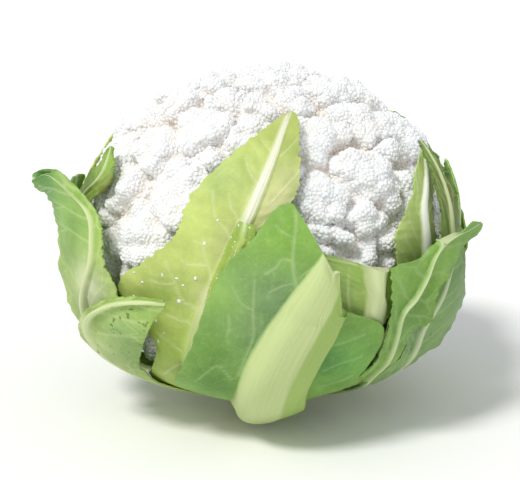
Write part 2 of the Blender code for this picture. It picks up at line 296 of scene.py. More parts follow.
@dataclass(frozen=True)
class LeafFinish:
    """Living leaf: waxy green blade, pale veins and a smooth streaked midrib."""

    name: str
    bloom: float  # how matt the waxy bloom makes the blade
    blotches: float = 55.0  # features of each noise to a metre
    grain: float = 420.0
    specks: float = 330.0
    glow: Triple = paint(190, 230, 80)
    glow_share: float = 0.16

    def make(self) -> bpy.types.Material:
        """The material, which reads the leaf's own attributes and its map in millimetres."""
        made, g = new_material(self.name)
        where = g.place()
        flat = g.value("ShaderNodeUVMap", "UV", {"uv_map": LEAF_MAP})
        blade = g.attribute("blade", "Color")
        rib_colour = g.attribute("rib_colour", "Color")
        vein_colour = g.attribute("vein_colour", "Color")
        vein = g.attribute("vein")
        rib = g.attribute("rib")
        cut = g.attribute("cut")

        broad = g.noise(where, self.blotches, 4.0)
        fine = g.noise(where, self.grain, 3.0)
        threads = self.threads(g, flat)
        off_rib = 1 - rib

        tone = g.mix((broad - 0.5) * 2.2 + 0.35, blade, g.mix(0.55, blade, paint(92, 140, 60), "MULTIPLY"))
        tone = g.mix((fine - 0.52) * 1.6 * off_rib, tone, g.mix(0.35, tone, paint(225, 240, 150)))
        tone = g.mix(threads * off_rib * 0.3, tone, vein_colour)
        tone = g.mix(vein * 0.92, tone, vein_colour)
        streaks = g.noise(g.stretched(flat, (0.9, 0.05, 1.0)), 1.0, 3.0)
        shaded = g.mix(0.35, rib_colour, paint(165, 190, 105), "MULTIPLY")
        flesh = g.mix((streaks - 0.42) * 1.1, rib_colour, shaded)
        tone = g.mix(rib, tone, flesh)
        specks = g.noise(where, self.specks, 2.0).ramp(0.62, 0.68) * g.attribute("soil")
        tone = g.mix(specks * 0.75, tone, DIRT)
        tone = g.mix(cut, tone, g.mix(broad, paint(226, 226, 190), paint(196, 204, 150)))

        roughness = self.bloom + (fine - 0.5) * 0.22 - rib * 0.06 + vein * 0.05
        relief = g.bump(streaks * rib, 0.22, 0.0005)
        relief = g.bump(fine * off_rib, 0.16, 0.0005, relief)
        relief = g.bump(threads * off_rib, 0.3, 0.0005, relief)
        skin = g.surface({"Base Color": tone, "Roughness": roughness.held(), "Normal": relief, "IOR": 1.42})
        through = g.node("ShaderNodeBsdfTranslucent", None, {"Color": (*self.glow, 1.0)})
        both = g.node("ShaderNodeMixShader", None, {0: self.glow_share})
        g.tree.links.new(skin.outputs[0], both.inputs[1])
        g.tree.links.new(through.outputs[0], both.inputs[2])
        close_material(g, both)
        return made

    @staticmethod
    def threads(g: Graph, flat: Value) -> Value:
        """The net of finest veins, coarse and small meshes of it, on the map in millimetres."""
        sway = g.value("ShaderNodeTexNoise", 1, {"noise_dimensions": "2D"}, {"Vector": flat, "Scale": 0.25})
        bent = g.value("ShaderNodeVectorMath", "Vector", {"operation": "ADD"}, {0: flat, 1: sway})
        settings = {"feature": "DISTANCE_TO_EDGE", "voronoi_dimensions": "2D"}
        coarse, small = (
            g.value("ShaderNodeTexVoronoi", "Distance", settings, {"Vector": bent, "Scale": scale})
            for scale in (0.21, 0.62)
        )
        return coarse.ramp(0.06, 0.0) * 0.4 + small.ramp(0.08, 0.0) * 0.2


@dataclass(frozen=True)
class CurdFinish:
    """Fresh curd: nearly white, cream and faintly pink where buds and florets meet: partly its own tint and
    partly painted shade in the creases.
    """

    name: str
    on_buds: bool
    patches: float = 26.0  # features of each noise to a metre
    flecks: float = 60.0
    specks: float = 170.0
    grain: float = 950.0
    white: Triple = paint(252, 252, 252)
    cream: Triple = paint(244, 236, 224)
    pink: Triple = paint(230, 208, 198)

    def make(self) -> bpy.types.Material:
        """The material, which reads how deep each place lies between florets, lumps and buds, and darkens the
        deep places with painted shade and the curd's own cream and pink.
        """
        made, g = new_material(self.name)
        where = g.place()
        floret = g.attribute("floret")
        lump = g.attribute("lump")
        knob = g.attribute("knob")
        patch = g.noise(where, self.patches, 3.0)
        grain = g.noise(where, self.grain, 4.0, 0.65)
        speck = g.noise(where, self.specks, 2.0)

        # painted shade, with some of the curd's own tint: cream and pink laid into the creases between
        # florets, lumps and knobs
        deep = floret.ramp(0.45, 1.0) * 0.9 + (1 - lump).ramp(0.6, 1.0) * 0.3
        deep = deep + (1 - knob).ramp(0.6, 1.0) * 0.15
        tone = g.mix(patch.ramp(0.46, 0.72) * 0.4, self.white, paint(250, 244, 228))
        if self.on_buds:
            # painted shade: each bud turns darker cream towards its foot, where it meets its neighbours
            foot = g.attribute("bud_height").ramp(0.75, -0.1)
            tone = g.mix(foot * 0.35, tone, self.cream)
        tone = g.mix(deep.held() * 0.7, tone, self.cream)
        tone = g.mix((deep * speck.ramp(0.48, 0.62)).held() * 0.55, tone, self.pink)
        warm = g.noise(where, self.flecks, 3.0).ramp(0.66, 0.76) * speck.ramp(0.5, 0.66)
        tone = g.mix(warm * 0.3, tone, paint(222, 204, 170))

        relief = g.bump(grain, 0.55, 0.0005)
        shader = g.surface(
            {
                "Base Color": tone,
                "Roughness": (0.5 + grain * 0.25).held(),
                "Normal": relief,
                "Subsurface Weight": 0.4,
                "Subsurface Radius": (1.0, 0.85, 0.7),
                "Subsurface Scale": 0.003,
                "IOR": 1.4,
            },
        )
        close_material(g, shader)
        return made


@dataclass(frozen=True)
class StalkFinish:
    """A trimmed stalk: ridged pale green skin round a cut face with its ring of fibres."""

    name: str
    skin: Triple = paint(206, 214, 158)
    flesh: Triple = paint(238, 238, 214)
    ring: Triple = paint(196, 204, 150)
    dry: Triple = paint(205, 190, 150)
    blots: float = 120.0  # features of each noise to a metre
    streaks: float = 380.0
    fibres: float = 620.0
    grain: float = 700.0

    def make(self) -> bpy.types.Material:
        """The material, which reads how far in from the stalk's rim each place lies."""
        made, g = new_material(self.name)
        where = g.place()
        inward = g.attribute("inward")
        cut = g.attribute("cut")
        fine = g.noise(where, self.grain, 4.0)
        blot = g.noise(where, self.blots, 4.0)
        streak = g.noise(g.stretched(where, (1.0, 1.0, 0.12)), self.streaks, 3.0)
        dots = g.value("ShaderNodeTexVoronoi", "Distance", None, {"Vector": where, "Scale": self.fibres})

        side = g.mix(streak.ramp(0.35, 0.7), self.skin, g.mix(0.5, self.skin, paint(170, 186, 110)))
        band = inward.ramp(0.13, 0.2) * inward.ramp(0.36, 0.27)
        face = g.mix(band * (0.45 + dots.ramp(0.5, 0.1) * 0.5), self.flesh, self.ring)
        face = g.mix(inward.ramp(0.1, 0.0) * 0.8, face, self.skin)
        face = g.mix(blot.ramp(0.5, 0.78) * 0.55, face, self.dry)
        tone = g.mix(cut, side, face)
        height = streak * (1 - cut) + (fine * 0.5 + dots * 0.5) * cut
        shader = g.surface(
            {
                "Base Color": tone,
                "Roughness": (0.45 + fine * 0.3).held(),
                "Normal": g.bump(height, 0.5, 0.0006),
                "IOR": 1.4,
            },
        )
        close_material(g, shader)
        return made


@dataclass(frozen=True)
class WaterFinish:
    """Water drops on a washed leaf, given a whitish base colour and little transmission so that they show as
    painted glints.
    """

    name: str
    ripples: float = 300.0  # to a metre

    def make(self) -> bpy.types.Material:
        """The material: glossy and whitish, a painted glint, with a trace of ripple so that each drop glints
        its own way.
        """
        made, g = new_material(self.name)
        where = g.place()
        ripple = g.noise(where, self.ripples, 2.0)
        shader = g.surface(
            {
                # painted highlight: a whitish base colour with little transmission makes each drop read as a
                # white glint
                "Base Color": (0.97, 0.99, 0.95, 1.0),
                "Roughness": (ripple * 0.12).held(),
                "Normal": g.bump(ripple, 0.1, 0.0003),
                "IOR": 1.4,
                "Transmission Weight": 0.25,
            },
        )
        close_material(g, shader)
        return made


@dataclass(frozen=True)
class FloorFinish:
    """A plain pale floor, matt, with hardly any grain."""

    name: str
    pale: Triple = (0.93, 0.93, 0.93)

    def make(self) -> bpy.types.Material:
        """The material."""
        made, g = new_material(self.name)
        where = g.place()
        tone = g.mix(g.noise(where, 6.0) * 0.5, self.pale, (0.91, 0.91, 0.91))
        close_material(g, g.surface({"Base Color": tone, "Roughness": 0.85}))
        return made


# ---------------------------------------------------------------------------------------------------
# Shapes shared by the leaves and the curd


def directions(azimuth: np.ndarray, elevation: np.ndarray) -> np.ndarray:
    """Unit vectors that point at azimuths and elevations in degrees. Azimuth 0 is the front, 90 the right."""
    turn, rise = np.radians(azimuth), np.radians(elevation)
    return np.stack([np.sin(turn) * np.cos(rise), -np.cos(turn) * np.cos(rise), np.sin(rise)], -1)


def apart(pointing: np.ndarray, azimuth: float, elevation: float) -> np.ndarray:
    """Degrees between unit vectors and the way that an azimuth and an elevation point."""
    centre = directions(np.array(azimuth), np.array(elevation))
    return np.degrees(np.arccos((pointing @ centre).clip(-1, 1)))


def elevations(pointing: np.ndarray) -> np.ndarray:
    """The elevations of unit vectors, in degrees."""
    return np.degrees(np.arcsin(pointing[..., 2].clip(-1, 1)))


def unit(vectors: np.ndarray) -> np.ndarray:
    """The vectors made one long."""
    return vectors / np.maximum(np.linalg.norm(vectors, axis=-1, keepdims=True), 1e-12)


def smooth(value: np.ndarray) -> np.ndarray:
    """A smooth step from 0 to 1."""
    held = np.clip(value, 0, 1)
    return held * held * (3 - 2 * held)


def outline_radius(elevation: np.ndarray, wide: float, top: float, drop: float) -> np.ndarray:
    """Distance to the head's outline.

    Args:
        elevation: in degrees, seen from the head's centre.
        wide: half the outline's width.
        top: its height above the centre.
        drop: its depth below the centre.

    Returns:
        The distances, in the unit of the three lengths.
    """
    above = elevation > 0
    tall = np.where(above, top, drop)
    power = np.where(above, DOME_ROUNDNESS, BOWL_ROUNDNESS)
    rise = np.radians(elevation)
    return ((np.cos(rise) / wide) ** power + (np.abs(np.sin(rise)) / tall) ** power) ** (-1 / power)


def layer_radius(layer: int, elevation: np.ndarray) -> np.ndarray:
    """Distance from the head's centre to the inner face of a layer of leaves, in millimetres."""
    drop = HEAD_HEIGHT - GROUND_GAP - BLADE_THICKNESS - CURD_CLEARANCE
    wrap = outline_radius(elevation, CURD_RADIUS + CURD_CLEARANCE, CURD_TOP + CURD_CLEARANCE, drop)
    down = smooth((BLADE_ELEVATION - elevation) / (BLADE_ELEVATION - FOOT_ELEVATION))
    at_foot = -(LAYERS - 1 - layer) * (PETIOLE_THICKNESS + BLADE_THICKNESS)
    return wrap + layer * LAYER_STEP * (1 - down) + at_foot * down


def foot_elevation(layer: int) -> float:
    """The elevation, in degrees, at which a layer reaches the stalk."""
    tries = np.linspace(-89.0, -30.0, 6000)
    reach = layer_radius(layer, tries) * np.cos(np.radians(tries))
    return float(tries[np.argmax(reach > STALK_RADIUS + FOOT_GAP)])


def curve_through(values: np.ndarray, places: np.ndarray) -> np.ndarray:
    """Values at places from 0 to 1 on a smooth curve through evenly spaced values."""
    last = len(values) - 1
    index = np.minimum((places * last).astype(int), last - 1)
    share = places * last - index
    if values.ndim > 1:
        share = share[..., None]
    start, end = values[index], values[index + 1]
    slope_in = (end - values[np.maximum(index - 1, 0)]) * 0.5
    slope_out = (values[np.minimum(index + 2, last)] - start) * 0.5
    square, cube = share**2, share**3
    return (
        start * (2 * cube - 3 * square + 1)
        + slope_in * (cube - 2 * square + share)
        + end * (3 * square - 2 * cube)
        + slope_out * (cube - square)
    )


def ripple(place: np.ndarray, wave: float, seed: int, octaves: int = 3) -> np.ndarray:
    """Smooth noise along a line, about from -1 to 1.

    Args:
        place: where it is read.
        wave: the length of its broadest waves.
        seed: which noise it is.
        octaves: how many finer waves are added.

    Returns:
        The noise.
    """
    chance = np.random.default_rng(seed)
    total = np.zeros_like(place)
    for octave in range(octaves):
        for _ in range(3):
            length = wave / 1.9**octave * chance.uniform(0.75, 1.3)
            total += np.sin(place * 2 * np.pi / length + chance.uniform(0, 6.28)) * 0.62**octave
    return total / 3.2


def mesh_of(name: str, places: np.ndarray, faces: np.ndarray | list) -> bpy.types.Mesh:
    """A smooth mesh from points in metres and its faces, with its sharp edges kept crisp."""
    mesh = bpy.data.meshes.new(name)
    mesh.from_pydata(places.tolist(), [], faces if isinstance(faces, list) else faces.tolist())
    mesh.shade_smooth()
    mesh.set_sharp_from_angle(angle=math.radians(SHARP))
    return mesh


def store(mesh: bpy.types.Mesh, name: str, values: np.ndarray) -> None:
    """Keeps a number, or a colour of four numbers, on each of a mesh's points."""
    kind = "FLOAT_COLOR" if values.ndim > 1 else "FLOAT"
    layer = mesh.attributes.new(name, kind, "POINT")
    layer.data.foreach_set("color" if values.ndim > 1 else "value", values.astype(np.float32).ravel())


def corner_points(mesh: bpy.types.Mesh) -> np.ndarray:
    """The number of the point that each corner of a mesh's faces stands on."""
    found = np.empty(len(mesh.loops), np.int32)
    mesh.loops.foreach_get("vertex_index", found)
    return found


def lay_map(mesh: bpy.types.Mesh, name: str, flat: np.ndarray) -> None:
    """Writes a UV map from its places at every corner."""
    layer = mesh.uv_layers.get(name) or mesh.uv_layers.new(name=name)
    layer.data.foreach_set("uv", flat.astype(np.float32).ravel())


def add(name: str, data: bpy.types.ID) -> bpy.types.Object:
    """Puts a new object in the scene."""
    made = bpy.data.objects.new(name, data)
    bpy.context.scene.collection.objects.link(made)
    return made


def show(
    name: str, mesh: bpy.types.Mesh, finish: bpy.types.Material, slot: Slot, *nodes: str
) -> bpy.types.Object:
    """Puts a finished piece in the scene.

    Args:
        name: the piece's name.
        mesh: its mesh, in place.
        finish: its material.
        slot: the record's material slot; not used.
        nodes: the solids that it stands for.

    Returns:
        The piece.
    """
    mesh.materials.clear()
    mesh.materials.append(finish)
    piece = add(name, mesh)
    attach(piece, BODY)
    if nodes:
        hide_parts(*nodes)
    LOG.info("%s: %d faces", name, len(mesh.polygons))
    return piece


# ---------------------------------------------------------------------------------------------------
# Geometry node trees


class Growth:
    """A geometry node tree with named inputs, and its one run over a mesh."""

    def __init__(self, name: str) -> None:
        """Starts the tree with a way in and a way out for the mesh."""
        self.tree = bpy.data.node_groups.new(name, "GeometryNodeTree")
        self.tree.interface.new_socket("Geometry", in_out="INPUT", socket_type="NodeSocketGeometry")
        self.tree.interface.new_socket("Geometry", in_out="OUTPUT", socket_type="NodeSocketGeometry")
        self.graph = Graph(self.tree)
        self.start = self.tree.nodes.new("NodeGroupInput")
        self.given: dict[str, tuple[str, object]] = {}

    def size(self, name: str, value: object, kind: str = "NodeSocketFloat") -> Value:
        """Adds a named input, with the value that the run gives it."""
        socket = self.tree.interface.new_socket(name, in_out="INPUT", socket_type=kind)
        self.given[name] = (socket.identifier, value)
        return Value(self.graph, self.start.outputs[name])

    @property
    def mesh(self) -> Value:
        """The mesh that comes in."""
        return Value(self.graph, self.start.outputs["Geometry"])

    def read(self, name: str) -> Value:
        """A number stored on the mesh."""
        return self.graph.value("GeometryNodeInputNamedAttribute", 0, {"data_type": "FLOAT"}, {"Name": name})

    def keep(self, shape: Value, name: str, value: Value) -> Value:
        """The shape with a number stored on its points."""
        settings = {"data_type": "FLOAT", "domain": "POINT"}
        inputs = {"Geometry": shape, "Name": name, "Value": value}
        return self.graph.value("GeometryNodeStoreNamedAttribute", 0, settings, inputs)

    def move(self, shape: Value, offset: Value) -> Value:
        """The shape with its points moved."""
        return self.graph.value("GeometryNodeSetPosition", 0, None, {"Geometry": shape, "Offset": offset})

    def scaled(self, vector: Value, factor: Value) -> Value:
        """A vector times a number."""
        inputs = {0: vector, "Scale": factor}
        return self.graph.value("ShaderNodeVectorMath", 0, {"operation": "SCALE"}, inputs)

    def strew(self, spacing: Value, most: float, share: object, seed: int) -> tuple[Value, Value]:
        """Strews points over the mesh.

        Args:
            spacing: the least distance between two.
            most: how many to a square metre there may be.
            share: the share of them that is kept.
            seed: which draw it is.

        Returns:
            The points, and how each is turned to stand on the mesh.
        """
        settings = {"distribute_method": "POISSON"}
        inputs = {"Distance Min": spacing, "Density Max": most, "Density Factor": share, "Seed": seed}
        inputs["Mesh"] = self.mesh
        made = self.graph.node("GeometryNodeDistributePointsOnFaces", settings, inputs)
        return Value(self.graph, made.outputs["Points"]), Value(self.graph, made.outputs["Rotation"])

    def ball(self, segments: int, rings: int, radius: object) -> Value:
        """A smooth ball."""
        inputs = {"Segments": segments, "Rings": rings, "Radius": radius}
        made = self.graph.value("GeometryNodeMeshUVSphere", 0, None, inputs)
        return self.graph.value("GeometryNodeSetShadeSmooth", 0, None, {0: made})

    def chance(self, low: Triple, high: Triple, seed: int) -> Value:
        """A random vector for each point, between two."""
        inputs = {"Min": low, "Max": high, "Seed": seed}
        return self.graph.value("FunctionNodeRandomValue", 0, {"data_type": "FLOAT_VECTOR"}, inputs)

    def stand(self, points: Value, piece: Value, turn: Value, scale: Value) -> Value:
        """A copy of a piece on each of the points, turned and scaled."""
        inputs = {"Points": points, "Instance": piece, "Rotation": turn, "Scale": scale}
        return self.graph.value("GeometryNodeInstanceOnPoints", 0, None, inputs)

    def finish(self, shape: Value, finish: bpy.types.Material) -> None:
        """Ends the tree: instances made real, and the material set."""
        real = self.graph.value("GeometryNodeRealizeInstances", 0, None, {0: shape})
        material = self.size("Finish", finish, "NodeSocketMaterial")
        inputs = {"Geometry": real, "Material": material}
        dressed = self.graph.value("GeometryNodeSetMaterial", 0, None, inputs)
        out = self.tree.nodes.new("NodeGroupOutput")
        self.tree.links.new(dressed.socket, out.inputs[0])

    def grow(self, name: str, base: bpy.types.Mesh) -> bpy.types.Mesh:
        """Runs the tree over a mesh.

        Args:
            name: the new mesh's name.
            base: the mesh that it grows on.

        Returns:
            The result as a plain mesh.
        """
        carrier = add(name, base)
        modifier = carrier.modifiers.new("growth", "NODES")
        modifier.node_group = self.tree
        for identifier, value in self.given.values():
            modifier[identifier] = value
        graph = bpy.context.evaluated_depsgraph_get()
        made = bpy.data.meshes.new_from_object(carrier.evaluated_get(graph), depsgraph=graph)
        made.name = name
        carrier.modifiers.clear()
        bpy.data.objects.remove(carrier)
        return made


# ---------------------------------------------------------------------------------------------------
# The leaves


@dataclass(frozen=True)
class Greens:
    """A leaf's colours: the blade near the foot and near the tip, the veins and the midrib."""

    foot: Triple
    tip: Triple
    vein: Triple
    rib: Triple


@dataclass(frozen=True)
class Station:
    """One line across a leaf, as azimuths and elevations in degrees seen from the head's centre.

    The midrib stands rib_height millimetres proud of the blade, and lift moves the left end, the
    midrib and the right end away from the head, in millimetres.
    """

    left: Pair
    rib: Pair
    right: Pair
    rib_height: float = 2.0
    lift: Triple = (0.0, 0.0, 0.0)


@dataclass(frozen=True)
class Patch:
    """A soft-edged patch of another colour, placed by azimuth and elevation, its reach in degrees."""

    azimuth: float
    elevation: float
    reach: float
    colour: Triple
    strength: float = 0.8


@dataclass(frozen=True)
class Spot:
    """A round spot, placed by azimuth and elevation, its reach in degrees."""

    azimuth: float
    elevation: float
    reach: float
    strength: float = 1.0


@dataclass(frozen=True)
class Drops:
    """Water drops: the spots where they stand, then their size and spacing in metres."""

    spots: tuple[Spot, ...]
    radius: float = 0.0009
    spacing: float = 0.0034
    kept: float = 0.16  # share of the places that a drop stands on


@dataclass(frozen=True)
class Vein:
    """A drawn vein: its half width in millimetres and the angles that it runs through."""

    half_width: float
    path: tuple[Pair, ...]


@dataclass(frozen=True)
class Leaf:
    """A leaf: its layer, its foot on the stalk, its stations up to the tip, and how it is dressed."""

    name: str
    layer: int
    foot: Pair  # azimuth and half the petiole's width, both in degrees
    rib_width: float  # half the midrib's width at the foot, in millimetres
    greens: Greens
    stations: tuple[Station, ...]
    slot: Slot = Slot.GREEN_LEAF
    spacing: float = 1.25  # of the mesh's points, in millimetres
    pairs: int = 7  # side veins on each side of the midrib
    slant: float = 0.24  # how far a side vein climbs the leaf on its way to the edge
    teeth: float = 0.7  # depth of the edge's teeth, in millimetres
    ruffle: float = 0.9  # height of the edge's waves, in millimetres
    rib_power: float = 2.2  # 2 is a round midrib, more is a boxier one
    rib_taper: float = 0.75  # share of its width that the midrib loses on its way to the tip
    rib_skew: float = 1.0  # how much wider the midrib's right half is than its left
    rib_gain: float = 0.0  # extra half width of the midrib at the tip, in millimetres
    rib_edge: float = 0.35  # how softly the midrib runs out into the blade
    rib_from: float = 0.0  # share of the leaf below which the midrib wears the blade's colour
    facet: float = 1.0  # share of the midrib's right half where a second facet starts, painted darker as shade
    petiole_share: float = 1.0  # how much of the solid's petiole thickness shows
    vein_strength: float = 0.55
    trimmed: bool = False  # whether the tip is a cut end
    veins: tuple[Vein, ...] = ()
    patches: tuple[Patch, ...] = ()
    drops: Drops | None = None
    soiled: tuple[Spot, ...] = ()
    seed: int = 1


LIME = Greens(paint(194, 213, 120), paint(172, 204, 98), paint(222, 230, 172), paint(218, 228, 174))
YELLOW = Greens(paint(206, 219, 124), paint(200, 216, 120), paint(232, 236, 190), paint(244, 243, 220))
FRESH = Greens(paint(150, 190, 96), paint(146, 190, 88), paint(190, 212, 158), paint(210, 221, 172))
PALE_RIBBED = Greens(paint(206, 222, 146), paint(198, 220, 130), paint(222, 230, 184), paint(244, 245, 232))
BROAD = Greens(paint(150, 190, 96), paint(146, 190, 88), paint(190, 212, 158), paint(202, 216, 152))
BLUISH = Greens(paint(134, 170, 100), paint(120, 160, 84), paint(182, 204, 160), paint(206, 218, 178))
OLIVE = Greens(paint(150, 172, 90), paint(104, 132, 52), paint(190, 204, 140), paint(214, 222, 172))

GREY_GREEN = paint(134, 168, 116)
BRIGHT_GREEN = paint(112, 176, 74)
CREAM_GREEN = paint(226, 222, 170)
DIRT = paint(92, 96, 52)
MOST_DROPS = 2.0e6  # to a square metre
# painted shade: the darker green of the midrib's right facet, which is turned from the light
FACET_SHADE_GREEN = np.array(paint(158, 190, 88))

